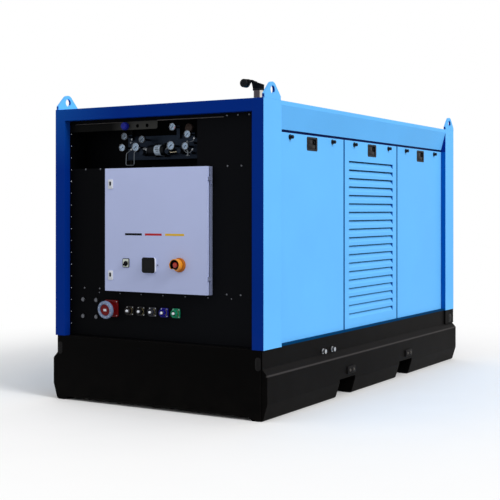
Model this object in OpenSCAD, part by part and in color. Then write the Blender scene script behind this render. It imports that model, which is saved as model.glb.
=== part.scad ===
// Hydrogen generator: an engine set in a weatherproof canopy that stands on a forklift skid.
// The front is the control end, at -Y. +Z is up, and the origin is at the bottom centre.

/* [Housing] */
// Width across the corner posts
unit_w = 2010; // [1900:10:2200]
// Length over the two end frames
unit_l = 4000; // [3900:10:4400]
// Height of the corner posts above the skid
frame_h = 1880; // [1850:10:2100]
// Width of a corner post across the unit
post_w = 100; // [80:5:120]
// Depth of the front posts along the unit
front_post_d = 275; // [220:5:300]
// Depth of the rear posts along the unit
rear_post_d = 235; // [200:5:280]
// Wall of the posts and end beams
tube_t = 6; // [4:1:10]
// Height of the end beams between the posts
beam_h = 95; // [80:5:120]
// Thickness of the folded sheets
sheet_t = 4; // [3:1:6]
// Set-back of the panels behind the faces of the posts
panel_inset = 49; // [40:1:60]

/* [Cornice and roof] */
// Height of the upright strip at the top of the cornice
cornice_strip_h = 32; // [20:1:50]
// Height of the cornice down to its lower lip
cornice_h = 213; // [190:1:230]
// Width of the cornice's flange on the roof
cornice_flange = 125; // [115:1:150]
// Ribs pressed across the roof
rib_count = 7; // [4:1:8]
// Width of a roof rib
rib_w = 120; // [90:5:150]
// Height of a roof rib
rib_h = 12; // [6:1:16]
// Shadow gap between the cornice and the panels
shadow_gap = 20; // [12:1:30]

/* [Side panels] */
// Gap between two panels
panel_gap = 17; // [6:1:20]
// Extra width of the front panel, taken from the middle one
front_extra = 22; // [0:2:40]
// Clearance between a post and the panel beside it
post_gap = 3; // [2:0.5:6]
// Depth of a panel's folded edge
panel_d = 20; // [14:1:26]
// Height of the sill under the panels
sill_t = 16; // [6:1:20]
// Width of the mullions behind the gaps between the panels
mullion_w = 60; // [40:5:80]

/* [Louvres] */
// Louvres in a louvred panel
louvre_count = 19; // [15:1:19]
// Distance from one louvre to the next
louvre_pitch = 73.6; // [68:0.2:75]
// Length of a louvre
louvre_len = 950; // [800:10:980]
// Height of a louvre's window
louvre_h = 44; // [36:1:50]
// Depth of a louvre's blade behind the face
louvre_d = 24; // [18:1:30]
// Slit left open above the blade
louvre_slit = 6; // [4:1:10]
// Thickness of a louvre's blade
louvre_t = 3; // [2:0.5:3.5]
// Height of the lowest window above the panel's foot
louvre_foot = 85; // [70:1:110]

/* [Latches and knobs] */
// Width of a paddle latch
latch_w = 168; // [140:2:190]
// Height of a paddle latch
latch_h = 108; // [90:2:120]
// Distance of the latch's centre below the panel's top
latch_drop = 68; // [60:1:80]
// Depth of the latch's dish
latch_d = 14; // [10:1:16]
// Offset of each knob from the panel's centre
knob_offset = 370; // [300:5:450]
// Distance of a knob below the panel's top
knob_drop = 32; // [24:1:40]
// Diameter of a knob's base
knob_dia = 42; // [30:1:48]
// Diameter of a knob's head
knob_head_dia = 30; // [24:1:36]
// Reach of a knob
knob_d = 34; // [26:1:40]

/* [Skid] */
// Height of the skid
base_h = 530; // [500:5:600]
// Set-back of the skid's upper band behind the posts
band_inset = 15; // [8:1:25]
// Height of the upper band
band_h = 142; // [120:1:160]
// Height over which the skirt swells outwards
swell_h = 46; // [30:1:60]
// Swell of the skirt beyond the posts
swell = 28; // [20:1:35]
// Height of the upright part of the skirt
skirt_h = 212; // [150:1:230]
// Set-back of the skirt's foot behind the posts
foot_inset = 12; // [5:1:20]
// Width of the skirt's bottom flange
skirt_flange = 90; // [60:5:120]
// Radius of the bends in the skirt
skirt_bend = 22; // [12:1:30]
// Thickness of the skid's plates
skid_t = 6; // [5:1:10]
// Height of the corner blocks
block_h = 142; // [120:1:160]
// Thickness of the end plates
end_plate_t = 8; // [6:1:12]
// Distance of an end plate's side edge behind the post
end_plate_inset = 27; // [20:1:40]
// Ground clearance under the middle of an end plate
end_clearance = 26; // [15:1:40]
// Width of an end plate's foot
foot_w = 62; // [50:1:90]
// Width of the slope beside that foot
foot_slope = 46; // [30:1:70]
// Thickness of the deck plate
deck_t = 8; // [6:1:12]

/* [Forklift pockets] */
// Clear width of a pocket
pocket_w = 300; // [250:5:340]
// Clear height of a pocket above the ground
pocket_h = 155; // [120:5:165]
// Distance between the centres of the two pockets
pocket_spacing = 1260; // [1100:10:1500]

/* [Skid fittings] */
// Width of a two-bolt pad above a pocket
pad_w = 150; // [120:5:180]
// Height of a pad
pad_h = 64; // [50:2:80]
// Thickness of a pad
pad_t = 12; // [8:1:16]
// Offset of a pad's centre from the middle of its pocket
pad_offset = 60; // [0:5:80]
// Height of a pad's centre above its pocket
pad_lift = 60; // [50:5:75]
// Radius of a pad's bolt heads
pad_bolt_r = 14; // [10:1:16]
// Height of an obround cover
cover_h = 104; // [80:2:120]
// Width of an obround cover on an end plate
cover_w = 51; // [40:1:60]
// Distance of a cover's centre from the corner of the end plate
cover_inset = 49; // [42:1:60]
// Distance of a cover's centre below the top of the skid
cover_drop = 103; // [80:1:120]
// Width of an obround cover on a corner block's side
side_cover_w = 104; // [90:2:120]
// Height of an obround cover on a corner block's side
side_cover_h = 90; // [70:2:96]
// Distance of a side cover's centre from the rear end
side_cover_inset = 112; // [90:2:130]
// Thickness of a cover
cover_t = 4; // [3:1:6]
// Diameter of a filler fitting's cap
filler_dia = 44; // [36:1:54]
// Distance of the first filler fitting from the front
filler_y = 992; // [700:1:1050]
// Distance between the two filler fittings
filler_pitch = 166; // [120:1:200]
// Distance of the fittings below the top of the skid
filler_drop = 114; // [90:1:115]

/* [Lifting lugs] */
// Length of a lug at its foot
lug_l = 250; // [200:5:260]
// Height of a lug
lug_h = 130; // [110:5:150]
// Thickness of a lug
lug_t = 20; // [16:1:25]
// Diameter of the shackle hole
lug_hole = 64; // [50:1:70]
// Height of the shackle hole above the post
lug_hole_z = 70; // [60:1:75]

/* [Front panels] */
// Depth of the front panels behind the end frame
recess_d = 65; // [60:1:80]
// Thickness of the front panels
front_t = 6; // [4:1:8]
// Height of the connector panel
connector_panel_h = 390; // [360:5:420]
// Position across the unit of the niche's right wall
niche_x = 378; // [340:2:420]
// Depth of the niche behind the front panels
niche_d = 240; // [220:5:300]

/* [Control cabinet] */
// Width of the cabinet
cab_w = 1000; // [900:10:1100]
// Height of the cabinet
cab_h = 990; // [900:10:990]
// Offset of the cabinet's centre from the middle of the unit
cab_x = 13; // [-50:1:50]
// Depth of the cabinet's body
cab_d = 260; // [200:10:320]
// Wall of the cabinet
cab_t = 4; // [3:1:5]
// Depth of the door
door_d = 25; // [20:1:30]
// Set-back of the door's face behind the end frame
door_inset = 7; // [4:1:12]
// Gap between the door and the body
door_gap = 5; // [5:1:8]
// Set-back of the door's hinge edge from the cabinet's side
door_setback = 10; // [4:1:14]
// Radius of a hinge pin
pin_r = 2.5; // [2:0.5:3]
// Length of one hinge knuckle
knuckle_h = 30; // [24:1:40]
// Distance of each hinge from the cabinet's end
hinge_inset = 110; // [90:5:160]
// Running clearance of the hinges
run_gap = 0.5; // [0.3:0.1:1]

/* [Door fittings] */
// Width of a lock's escutcheon
lock_w = 48; // [36:2:56]
// Height of a lock's escutcheon
lock_h = 76; // [60:2:90]
// Diameter of a lock's insert
lock_dia = 26; // [20:1:30]
// Distance of the locks from the door's side edge
lock_inset_x = 58; // [45:1:80]
// Distance of the locks from the door's ends
lock_inset_z = 127; // [100:1:160]
// Width of the key switch's plate
selector_w = 58; // [50:1:66]
// Height of the key switch's plate
selector_h = 68; // [58:1:78]
// Width of the control unit
control_w = 116; // [100:2:130]
// Height of the control unit
control_h = 120; // [100:2:130]
// Depth of the control unit in front of the door
control_d = 30; // [24:1:40]
// Diameter of the stop button's yellow base
stop_base_dia = 112; // [100:2:120]
// Diameter of the stop button's collar
stop_collar_dia = 88; // [80:2:94]
// Diameter of the red mushroom head
stop_head_dia = 40; // [36:1:44]
// Depth of the stop button in front of the door
stop_d = 62; // [50:1:70]

/* [Sockets] */
// Distance of the big power socket from the left post
socket_inset = 442; // [400:1:480]
// Height of the big power socket above the skid
socket_lift = 243; // [220:1:280]
// Distance of the first connector from the left post
connector_inset = 630; // [600:1:680]
// Height of the connectors above the skid
connector_lift = 233; // [200:1:270]
// Distance between two blanking plugs
plug_pitch = 138; // [120:1:150]
// Distance of the first blanking plugs from the left post
plug_inset = 147; // [120:1:170]
// Height of the lower blanking plugs above the skid
plug_lift = 166; // [140:1:200]
// Side of the flange of the big power socket
socket_flange = 137; // [120:1:146]
// Diameter of the big socket's ring
socket_ring = 150; // [140:1:156]
// Reach of the big socket
socket_d = 84; // [70:1:95]
// Downward tilt of the big socket
socket_tilt = 8; // [0:1:10]
// Single-pole connectors
connector_count = 5; // [3:1:5]
// Distance between two connectors
connector_pitch = 113; // [100:1:120]
// Side of a connector's flange
connector_flange = 74; // [64:1:80]
// Reach of a connector
connector_d = 45; // [36:1:55]

/* [Gas panel] */
// Width of the inlet bracket
bracket_w = 890; // [800:5:960]
// Height of the inlet bracket
bracket_h = 66; // [56:2:80]
// Drop of the inlet bracket below the niche's ceiling
bracket_drop = 22; // [10:1:30]
// Radius of the bracket's free corner
bracket_r = 18; // [10:1:26]
// Radius of the bracket's holes
hole_r = 15; // [12:1:17]
// Distance of the first hole from the bracket's free end
hole_inset = 101; // [80:1:120]
// Distance between two holes
hole_pitch = 95; // [80:1:100]
// Diameter of the inlet's dust cap
inlet_cap_dia = 64; // [54:1:70]
// Position across the unit of the back plate's left end
gas_plate_x0 = -410; // [-430:5:-380]
// Distance of the back plate behind the front panels
gas_plate_back = 150; // [130:5:170]
// Height of the back plate above the niche's floor
gas_plate_lift = 66; // [50:1:80]
// Depth of the back plate's lower lip
gas_lip = 30; // [20:1:32]
// Width of the grey back plate
gas_plate_w = 710; // [680:10:760]
// Height of the back plate
gas_plate_h = 194; // [170:2:210]
// Diameter of a large gauge
gauge_dia = 70; // [60:1:76]
// Diameter of a small gauge
small_gauge_dia = 60; // [50:1:66]
// Thickness of a gauge
gauge_d = 26; // [20:1:32]
// Reach of the gauges in front of the back plate
gauge_reach = 116; // [100:1:120]
// Diameter of a gauge's stem
stem_dia = 16; // [10:1:20]
// Diameter of a pressure regulator
regulator_dia = 54; // [44:1:60]
// Diameter of the gas filter
filter_dia = 86; // [70:2:90]
// Length of the gas filter
filter_l = 168; // [150:2:180]
// Diameter of the steel tubing
tubing_dia = 10; // [8:1:12]
// Reach of the tubing in front of the back plate
tube_reach = 44; // [38:1:56]

/* [Exhaust] */
// Diameter of the exhaust pipe
pipe_dia = 89; // [76:1:102]
// Diameter of the flange that carries the pipe on the roof
pipe_flange_dia = 160; // [140:2:190]
// Height of the pipe above the top of the frame
pipe_h = 302; // [250:2:360]
// Height of the rain cap's collar on the pipe
collar_h = 40; // [30:1:60]
// Position of the pipe along the unit
pipe_y = -363; // [-600:1:600]
// Tilt of the rain cap's seat
cap_tilt = 20; // [10:1:25]

/* [Hidden] */

$fn = 48;
SMOOTH = 96;
CUT = 1;            // how far a cutter runs past the face it cuts
BEND_STEPS = 4;     // flats in a rounded bend
SEAT_GAP = 0.5;     // clearance of a plate that is welded in by its edges

BLUE = [0.00, 0.24, 0.52];
LIGHT_BLUE = [0.38, 0.71, 0.97];
BLACK = [0.06, 0.06, 0.065];
GREY = [0.71, 0.73, 0.76];
STEEL = [0.62, 0.63, 0.64];

front_y = -unit_l / 2;
rear_y = unit_l / 2;
side_x = unit_w / 2;
inner_x = side_x - post_w;               // inner faces of the posts
top_z = base_h + frame_h;
bulkhead_y = front_y + recess_d;
panel_x = side_x - panel_inset;          // outer faces of the side panels
bay_y0 = front_y + front_post_d;         // the side bays run between the posts
bay_y1 = rear_y - rear_post_d;
bay_l = bay_y1 - bay_y0;
panel_count = 3;                         // panels on each side
panel_z0 = base_h + sill_t;
panel_z1 = top_z - cornice_h - shadow_gap;
panel_h = panel_z1 - panel_z0;
sill_x = panel_x - panel_d - 6;          // inner edge of the sills
lip_z = panel_z1 - 20;                   // lower edge of the cornice's lip
panel_step = (bay_l - 2 * post_gap + panel_gap) / panel_count;
panel_w = panel_step - panel_gap;
panel_widths = [panel_w + front_extra, panel_w - front_extra, panel_w];
panel_y = [for (i = [0:panel_count - 1]) bay_y0 + post_gap + i * panel_step + (i == 1 ? front_extra : 0)];
beam_z = top_z - beam_h;
skid_y0 = front_y + end_plate_t;
skid_l = unit_l - 2 * end_plate_t;
cab_x0 = cab_x - cab_w / 2;
cab_x1 = cab_x + cab_w / 2;
door_x1 = cab_x1 - door_setback;          // the door's edge at the hinges
cab_z0 = base_h + connector_panel_h;
door_y = front_y + door_inset;
body_y = door_y + door_d + door_gap;     // front rim of the cabinet's body
knuckle_r = pin_r + 2;
hinge_x = cab_x1 + knuckle_r + run_gap;  // the door turns about a line just outside the cabinet
hinge_y = body_y;
leaf_t = 3;                              // hinge leaves on the cabinet's side
niche_z = cab_z0 + cab_h + front_t;      // top of the niche's floor, which lies on the cabinet
niche_back_y = bulkhead_y + niche_d;
collar_r = pipe_dia / 2 + 8;
pipe_top = top_z + pipe_h;
cap_z = pipe_top + pipe_dia / 2 * tan(cap_tilt) + 6;  // middle of the rain cap's tilted seat
cap_lift = 2;                            // clearance under the flap
// The hinge of the rain cap, along and above its tilted seat, and the same place seen from the side
cap_hinge_seat = [-collar_r - 18, cap_lift + 5];
cap_hinge = [
    cap_hinge_seat[0] * cos(cap_tilt) + cap_hinge_seat[1] * sin(cap_tilt),
    cap_z - cap_hinge_seat[0] * sin(cap_tilt) + cap_hinge_seat[1] * cos(cap_tilt)];
weight_x = cap_hinge[0] - 80;            // counterweight of the rain cap
weight_z = cap_z + 12;
weight_r = 40;
ear_gap = 11;                            // space between the collar's two ears
// Places on the door from its lower left corner
selector_at = [214, 230];
control_at = [454, 218];
stop_at = [735, 226];
ear_t = 6;

// The left normal of the line from a to b.
function normal_of(a, b) = let (d = (b - a) / norm(b - a)) [-d[1], d[0]];

// Point i of the line moved sideways by t, with mitred corners.
function offset_point(line, i, t) =
    i == 0 ? line[0] + t * normal_of(line[0], line[1])
    : i == len(line) - 1 ? line[i] + t * normal_of(line[i - 1], line[i])
    : let (n1 = normal_of(line[i - 1], line[i]), n2 = normal_of(line[i], line[i + 1]))
        line[i] + t * (n1 + n2) / (1 + n1 * n2);

// The outline of a sheet of thickness t folded along the line, on its left side.
function folded(line, t) =
    concat(line, [for (i = [len(line) - 1:-1:0]) offset_point(line, i, t)]);

// The arc of radius r that rounds the corner b, on the way from a to c.
function arc_at(a, b, c, r) =
    let (u = (a - b) / norm(a - b), v = (c - b) / norm(c - b), half = acos(u * v) / 2,
        centre = b + (u + v) / norm(u + v) * r / sin(half),
        from = b + u * r / tan(half) - centre,
        turn = sign(u[1] * v[0] - u[0] * v[1]) * (180 - 2 * half))
    [for (i = [0:BEND_STEPS]) let (angle = atan2(from[1], from[0]) + turn * i / BEND_STEPS)
        centre + r * [cos(angle), sin(angle)]];

// The line with its corners rounded, apart from the first sharp ones.
function rounded(line, r, sharp) =
    [for (i = [0:len(line) - 1]) each i <= sharp || i == len(line) - 1 ? [line[i]]
        : arc_at(line[i - 1], line[i], line[i + 1], r)];

// A bar along Y from y0 to y1, whose section is drawn in X and Z.
module bar_y(y0, y1, section)
    translate([0, y1, 0]) rotate([90, 0, 0]) linear_extrude(y1 - y0) polygon(section);

// A bar along X from x0 to x1, whose section is drawn in Y and Z.
module bar_x(x0, x1, section)
    translate([x0, 0, 0]) rotate([90, 0, 90]) linear_extrude(x1 - x0) polygon(section);

// A box from its lowest to its highest corner.
module box(a, b) translate(a) cube(b - a);

// A cylinder along -Y, from its back at y.
module rod_y(x, y, z, r, l) translate([x, y, z]) rotate([90, 0, 0]) cylinder(r = r, h = l);

// A plate with rounded corners, facing -Y, with its back at y.
module rounded_plate_y(x, y, z, w, h, t, r) {
    translate([x, y, z]) rotate([90, 0, 0]) linear_extrude(t) rounded_rect(w, h, r);
}

// A rectangle with round corners, made of plain pieces.
module rounded_rect(w, h, r) {
    square([w - 2 * r, h], center = true);
    square([w, h - 2 * r], center = true);
    for (sx = [-1, 1], sz = [-1, 1])
        translate([sx * (w / 2 - r), sz * (h / 2 - r)]) circle(r = r);
}

// The piece as drawn for the right side, or mirrored to the left.
module on_side(left) mirror([left ? 1 : 0, 0, 0]) children();

// ---- Skid ----

// The corners of the skirt's section, from the top flange down to the bottom one.
skirt_corners = [
    [inner_x, base_h],
    [side_x - band_inset, base_h],
    [side_x - band_inset, base_h - band_h],
    [side_x + swell, base_h - band_h - swell_h],
    [side_x + swell, base_h - band_h - swell_h - skirt_h],
    [side_x - foot_inset, 0],
    [side_x - foot_inset - skirt_flange, 0]];
skirt_line = rounded(skirt_corners, skirt_bend, 2);
tunnel_edge = -skid_t - SEAT_GAP;        // the fork tunnels end just inside the skirt's plate

// Cutter for a forklift pocket, right across the skid.
module pocket_cutters() {
    for (s = [-1, 1])
        translate([-unit_w, s * pocket_spacing / 2 - pocket_w / 2, -CUT])
            cube([2 * unit_w, pocket_w, pocket_h + CUT]);
}

module skid(left) {
    color(BLACK) on_side(left) difference() {
        union() {
            bar_y(skid_y0, skid_y0 + skid_l, folded(skirt_line, -skid_t));
            for (y = [skid_y0, skid_y0 + skid_l - skid_t])
                bar_y(y, y + skid_t, skirt_line);
            // the front block ends flush with the band, the rear one stands proud
            box([inner_x, skid_y0, base_h - block_h], [side_x - band_inset, bay_y0, base_h]);
            box([inner_x, bay_y1, base_h - block_h], [side_x, skid_y0 + skid_l, base_h]);
        }
        pocket_cutters();
    }
}

// An end plate: level along the bottom, with a rounded slope down to a foot at each corner.
module end_plate() {
    half_w = side_x - end_plate_inset;
    slope_x = half_w - foot_w - foot_slope;
    blend = [for (i = [0:8]) [i / 8, (1 - cos(180 * i / 8)) / 2]];
    right = [for (b = blend) [slope_x + foot_slope * b[0], end_clearance * (1 - b[1])]];
    left_half = [for (i = [len(right) - 1:-1:0]) [-right[i][0], right[i][1]]];
    color(BLACK) bar_y(front_y, front_y + end_plate_t, concat(
        [[-half_w, base_h], [-half_w, 12], [-half_w + 12, 0]], left_half, right,
        [[half_w - 12, 0], [half_w, 12], [half_w, base_h]]));
}

module deck_plate() {
    edge_x = inner_x - SEAT_GAP;
    color(BLACK) box([-edge_x, skid_y0, base_h - deck_t], [edge_x, skid_y0 + skid_l, base_h]);
}

// The inverted channels that line the two forklift pockets from side to side.
module fork_tunnels() {
    reach = side_x + swell + tunnel_edge;
    wall_half = concat([[reach, pocket_h + skid_t]],
        [for (i = [1:len(skirt_line) - 2]) let (p = offset_point(skirt_line, i, tunnel_edge))
            if (p[1] < pocket_h) p]);
    wall = concat(wall_half, [for (i = [len(wall_half) - 1:-1:0]) [-wall_half[i][0], wall_half[i][1]]]);
    color(BLACK) for (s = [-1, 1]) {
        middle = s * pocket_spacing / 2;
        for (y = [middle - pocket_w / 2 - skid_t, middle + pocket_w / 2]) bar_y(y, y + skid_t, wall);
        box([-reach, middle - pocket_w / 2 - skid_t, pocket_h],
            [reach, middle + pocket_w / 2 + skid_t, pocket_h + skid_t]);
    }
}

// The two-bolt pads on the skirt above the pockets.
module fork_pads() {
    color(BLACK) for (left = [false, true], s = [-1, 1]) on_side(left)
        translate([side_x + swell, s * pocket_spacing / 2 + pad_offset, pocket_h + pad_lift]) {
            translate([0, -pad_w / 2, -pad_h / 2]) cube([pad_t, pad_w, pad_h]);
            for (y = [-pad_w / 4, pad_w / 4])
                translate([pad_t - CUT, y, 0]) rotate([0, 90, 0]) cylinder(r = pad_bolt_r, h = 8 + CUT, $fn = 6);
        }
}

module obround(w, h, t) {
    r = min(w, h) / 2;
    rotate([90, 0, 0]) linear_extrude(t) rounded_rect(w, h, r - 0.01);
}

// The covers of the lashing points: on the end plates and on the rear blocks' sides.
module skid_covers() {
    color([0.24, 0.22, 0.21]) {
        for (x = [-1, 1], end = [0, 180])
            rotate([0, 0, end]) translate([x * (side_x - cover_inset), front_y, base_h - cover_drop])
                obround(cover_w, cover_h, cover_t);
        for (side = [90, -90])
            rotate([0, 0, side])
                translate([sign(side) * (rear_y - side_cover_inset), -side_x, base_h - block_h * 0.62])
                    obround(side_cover_w, side_cover_h, cover_t);
    }
}

module filler_fittings() {
    color(STEEL) for (i = [0, 1])
        translate([side_x - band_inset, front_y + filler_y + i * filler_pitch, base_h - filler_drop])
            rotate([0, 90, 0]) {
                cylinder(d = filler_dia, h = 6);
                cylinder(d = filler_dia * 0.62, h = 20);
                translate([0, 0, 14]) cylinder(d = filler_dia * 0.9, h = 16, $fn = 6);
            }
}

// ---- Frame ----

// A closed rectangular tube that stands on the skid.
module post(left, y0, y1) {
    color(BLUE) on_side(left) difference() {
        box([inner_x, y0, base_h], [side_x, y1, top_z]);
        box([inner_x + tube_t, y0 + tube_t, base_h + tube_t], [side_x - tube_t, y1 - tube_t, top_z - tube_t]);
    }
}

module end_beam() {
    color(BLUE) difference() {
        box([-inner_x, front_y, beam_z], [inner_x, bulkhead_y, top_z]);
        box([-inner_x - CUT, front_y + tube_t, beam_z + tube_t],
            [inner_x + CUT, bulkhead_y - tube_t, top_z - tube_t]);
    }
}

// The cornice: flange, upright strip, a face that leans in to the panels, and a lip.
module cornice(left) {
    line = [
        [side_x - cornice_flange, top_z],
        [side_x, top_z],
        [side_x, top_z - cornice_strip_h],
        [panel_x, top_z - cornice_h],
        [panel_x - panel_d - 10, top_z - cornice_h],
        [panel_x - panel_d - 10, lip_z]];
    color(LIGHT_BLUE) on_side(left) bar_y(bay_y0, bay_y1, folded(line, -sheet_t));
}

// The lifting lugs: upright plates on the outer edges of the posts.
module lifting_lugs() {
    color(LIGHT_BLUE) for (left = [false, true], span = [[front_y, front_post_d], [bay_y1, rear_post_d]])
        on_side(left) translate([side_x - lug_t, span[0] + span[1] / 2, top_z]) lug(min(lug_l, span[1]));
}

// One lug, with a rounded head round the shackle hole.
module lug(foot_l) {
    head_r = lug_h - lug_hole_z;
    shoulder = 30;
    // the sloping edges touch the round head
    reach = [foot_l / 2, shoulder - lug_hole_z];
    angle = atan2(reach[1], reach[0]) + acos(head_r / norm(reach));
    touch = [head_r * cos(angle), head_r * sin(angle)];
    rotate([90, 0, 90]) linear_extrude(lug_t) difference() {
        union() {
            polygon([[-foot_l / 2, 0], [foot_l / 2, 0], [foot_l / 2, shoulder],
                [touch[0], lug_hole_z + touch[1]], [-touch[0], lug_hole_z + touch[1]], [-foot_l / 2, shoulder]]);
            translate([0, lug_hole_z]) circle(r = head_r, $fn = SMOOTH);
        }
        translate([0, lug_hole_z]) circle(d = lug_hole, $fn = SMOOTH);
    }
}

module roof_panel() {
    rib_step = (unit_l - 2 * recess_d) / rib_count;
    color(LIGHT_BLUE) difference() {
        union() {
            box([-inner_x, bulkhead_y, top_z - 2 * sheet_t], [inner_x, rear_y - recess_d, top_z - sheet_t]);
            for (i = [1:rib_count])
                bar_x(-inner_x + cornice_flange, inner_x - cornice_flange, [
                    for (p = [[-1, -CUT], [1, -CUT], [1, 0], [0.75, rib_h], [-0.75, rib_h], [-1, 0]])
                        [bulkhead_y + (i - 0.5) * rib_step + p[0] * rib_w / 2, top_z - sheet_t + p[1]]]);
        }
        // the exhaust's flange lies flat on the roof
        translate([0, pipe_y, top_z - sheet_t]) cylinder(d = pipe_flange_dia + 2 * SEAT_GAP, h = 2 * rib_h);
        translate([0, pipe_y, top_z - 50]) cylinder(d = pipe_dia + 2 * run_gap, h = 100, $fn = SMOOTH);
    }
}

// The sills that the side panels stand on.
module sills() {
    color(BLUE) for (left = [false, true]) on_side(left)
        box([sill_x, bay_y0, base_h], [side_x - band_inset, bay_y1, panel_z0]);
}

// A folded channel that faces +X and is open behind, with the middle of its foot at the origin.
module channel(d, w, h) {
    difference() {
        translate([-d, -w / 2, 0]) cube([d, w, h]);
        translate([-d - CUT, -w / 2 + sheet_t, -CUT]) cube([d - sheet_t + CUT, w - 2 * sheet_t, h + 2 * CUT]);
    }
}

// The mullions behind the gaps: up to the cornice's lip on the long sides, up to the roof at the rear.
module mullions() {
    color(LIGHT_BLUE) for (left = [false, true], i = [1:panel_count - 1]) on_side(left)
        translate([sill_x - SEAT_GAP, panel_y[i] - panel_gap / 2, base_h])
            channel(sill_x - SEAT_GAP - inner_x, mullion_w, lip_z - SEAT_GAP - base_h);
    color(BLUE) for (x = [-1, 1] * (panel_w + panel_gap) / 2)
        translate([x, rear_panel_y - panel_d - 6 - SEAT_GAP, base_h]) rotate([0, 0, 90])
            channel(sill_x - SEAT_GAP - inner_x, mullion_w, rear_bay_h + beam_h - 2 * sheet_t - SEAT_GAP);
}

// ---- Panels ----

// A folded panel that faces +X, with its lower front corner at the origin.
module plain_panel(w, h) {
    translate([-panel_d, 0, 0]) difference() {
        cube([panel_d, w, h]);
        translate([-CUT, sheet_t, sheet_t])
            cube([panel_d - sheet_t + CUT, w - 2 * sheet_t, h - 2 * sheet_t]);
    }
}

// A louvre: its blade leans back from the window's foot to the slit, and cheeks close both ends.
module louvre(l) {
    blade = [[0, 0], [-louvre_d, louvre_h - louvre_slit]];
    bar_y(0, l, folded(blade, louvre_t));
    for (y = [0, l - louvre_t])
        bar_y(y, y + louvre_t, [[0, 0], [0, louvre_h], [-louvre_d, louvre_h], blade[1]]);
}

module louvred_panel(w, h) {
    side = (w - louvre_len) / 2;
    difference() {
        plain_panel(w, h);
        for (i = [0:louvre_count - 1])
            translate([-panel_d, side, louvre_foot + i * louvre_pitch])
                cube([panel_d + CUT, louvre_len, louvre_h]);
    }
    for (i = [0:louvre_count - 1])
        translate([0, side, louvre_foot + i * louvre_pitch]) louvre(louvre_len);
}

// Opening for the latch and holes for the two knobs, at the top of a panel.
module latch_cutters(w, h) {
    translate([-panel_d, w / 2 - latch_w / 2 + 8, h - latch_drop - latch_h / 2 + 8])
        cube([2 * panel_d, latch_w - 16, latch_h - 16]);
}

module side_panel(left, i, louvred) {
    color(LIGHT_BLUE) on_side(left)
        translate([panel_x, panel_y[i], panel_z0]) difference() {
            if (louvred) louvred_panel(panel_widths[i], panel_h);
            else plain_panel(panel_widths[i], panel_h);
            latch_cutters(panel_widths[i], panel_h);
        }
}

// The rear wall repeats the louvred panel between two plain ones.
rear_bay_h = beam_z - base_h;
rear_panel_y = rear_y - panel_inset;
rear_side_w = (2 * inner_x - panel_w) / 2 - panel_gap;

module rear_panel_louvred() {
    color(BLUE) translate([panel_w / 2, rear_panel_y, base_h]) rotate([0, 0, 90])
        louvred_panel(panel_w, rear_bay_h);
}

module rear_panels_plain() {
    color(BLUE) for (x = [inner_x, -inner_x + rear_side_w])
        translate([x, rear_panel_y, base_h]) rotate([0, 0, 90]) plain_panel(rear_side_w, rear_bay_h);
}

// A paddle latch: a frame over the opening, a dish behind it, and a paddle that leans out downwards.
module paddle_latch() {
    frame_t = 2.5;
    rim = 16;
    dish_w = latch_w - rim - 2 * run_gap;
    dish_h = latch_h - rim - 2 * run_gap;
    difference() {
        union() {
            rotate([90, 0, 90]) linear_extrude(frame_t) rounded_rect(latch_w, latch_h, 12);
            translate([-latch_d, -dish_w / 2, -dish_h / 2]) cube([latch_d + CUT, dish_w, dish_h]);
        }
        translate([-latch_d + 3, -latch_w / 2 + rim, -latch_h / 2 + rim])
            cube([latch_d + 10, latch_w - 2 * rim, latch_h - 2 * rim]);
    }
    foot = -latch_h / 2 + rim + 3;
    bar_y(-latch_w * 0.26, latch_w * 0.26, [[3 - latch_d, foot], [1, foot], [0, foot + 12],
        [5 - latch_d, foot + latch_h * 0.44], [3 - latch_d, foot + latch_h * 0.44]]);
}

module at_panels(drop) {
    for (left = [false, true], i = [0:panel_count - 1]) on_side(left)
        translate([panel_x, panel_y[i] + panel_widths[i] / 2, panel_z1 - drop]) children();
}

module paddle_latches() {
    color(BLACK) at_panels(latch_drop) paddle_latch();
}

module wing_knobs() {
    color(BLACK) at_panels(knob_drop) for (s = [-1, 1]) translate([0, s * knob_offset, 0]) {
        rotate([0, 90, 0]) {
            cylinder(d = knob_dia, h = 8);
            cylinder(d = knob_head_dia / 2, h = knob_d - 10);
            translate([0, 0, knob_d - 18]) cylinder(d = knob_head_dia, h = 18);
        }
    }
}

// ---- Front ----

module front_plate(x0, x1, z0, z1) {
    box([x0, bulkhead_y, z0], [x1, bulkhead_y + front_t, z1]);
}

module connector_panel() {
    color(BLACK) front_plate(-inner_x, inner_x, base_h, cab_z0);
}

module front_panels_side() {
    color(BLACK) {
        front_plate(-inner_x, cab_x0, cab_z0, niche_z);
        front_plate(cab_x1, inner_x, cab_z0, niche_z);
    }
}

module front_panel_upper() {
    color(BLACK) front_plate(niche_x, inner_x, niche_z, beam_z);
}

// The open box of the gas panel, above the cabinet.
module gas_niche() {
    color(BLACK) difference() {
        box([-inner_x, bulkhead_y, niche_z - front_t], [niche_x, niche_back_y, beam_z]);
        box([-inner_x + front_t, bulkhead_y - CUT, niche_z],
            [niche_x - front_t, niche_back_y - front_t, beam_z - front_t]);
        // room for the top edges of the side panels
        for (span = [[-inner_x - CUT, cab_x0], [cab_x1, niche_x + CUT]])
            box([span[0], bulkhead_y - CUT, niche_z - front_t - CUT], [span[1], bulkhead_y + front_t, niche_z]);
    }
    // the lip that hangs from the front of the ceiling
    color(BLACK) box([bracket_x0 - CUT, bracket_y, bracket_z0 + bracket_h],
        [niche_x - front_t + CUT, bracket_y + sheet_t, beam_z - front_t + CUT]);
}

bracket_y = bulkhead_y + 2;
bracket_x0 = -inner_x + front_t;
bracket_z0 = beam_z - front_t - bracket_drop - bracket_h;
inlet_z = bracket_z0 + bracket_h / 2 - 4;
// Holes of the bracket from its free end inwards. The coupling sits in the last one.
hole_x = [for (i = [0:2]) bracket_x0 + bracket_w - hole_inset - i * hole_pitch];
inlet_x = hole_x[2];

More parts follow.
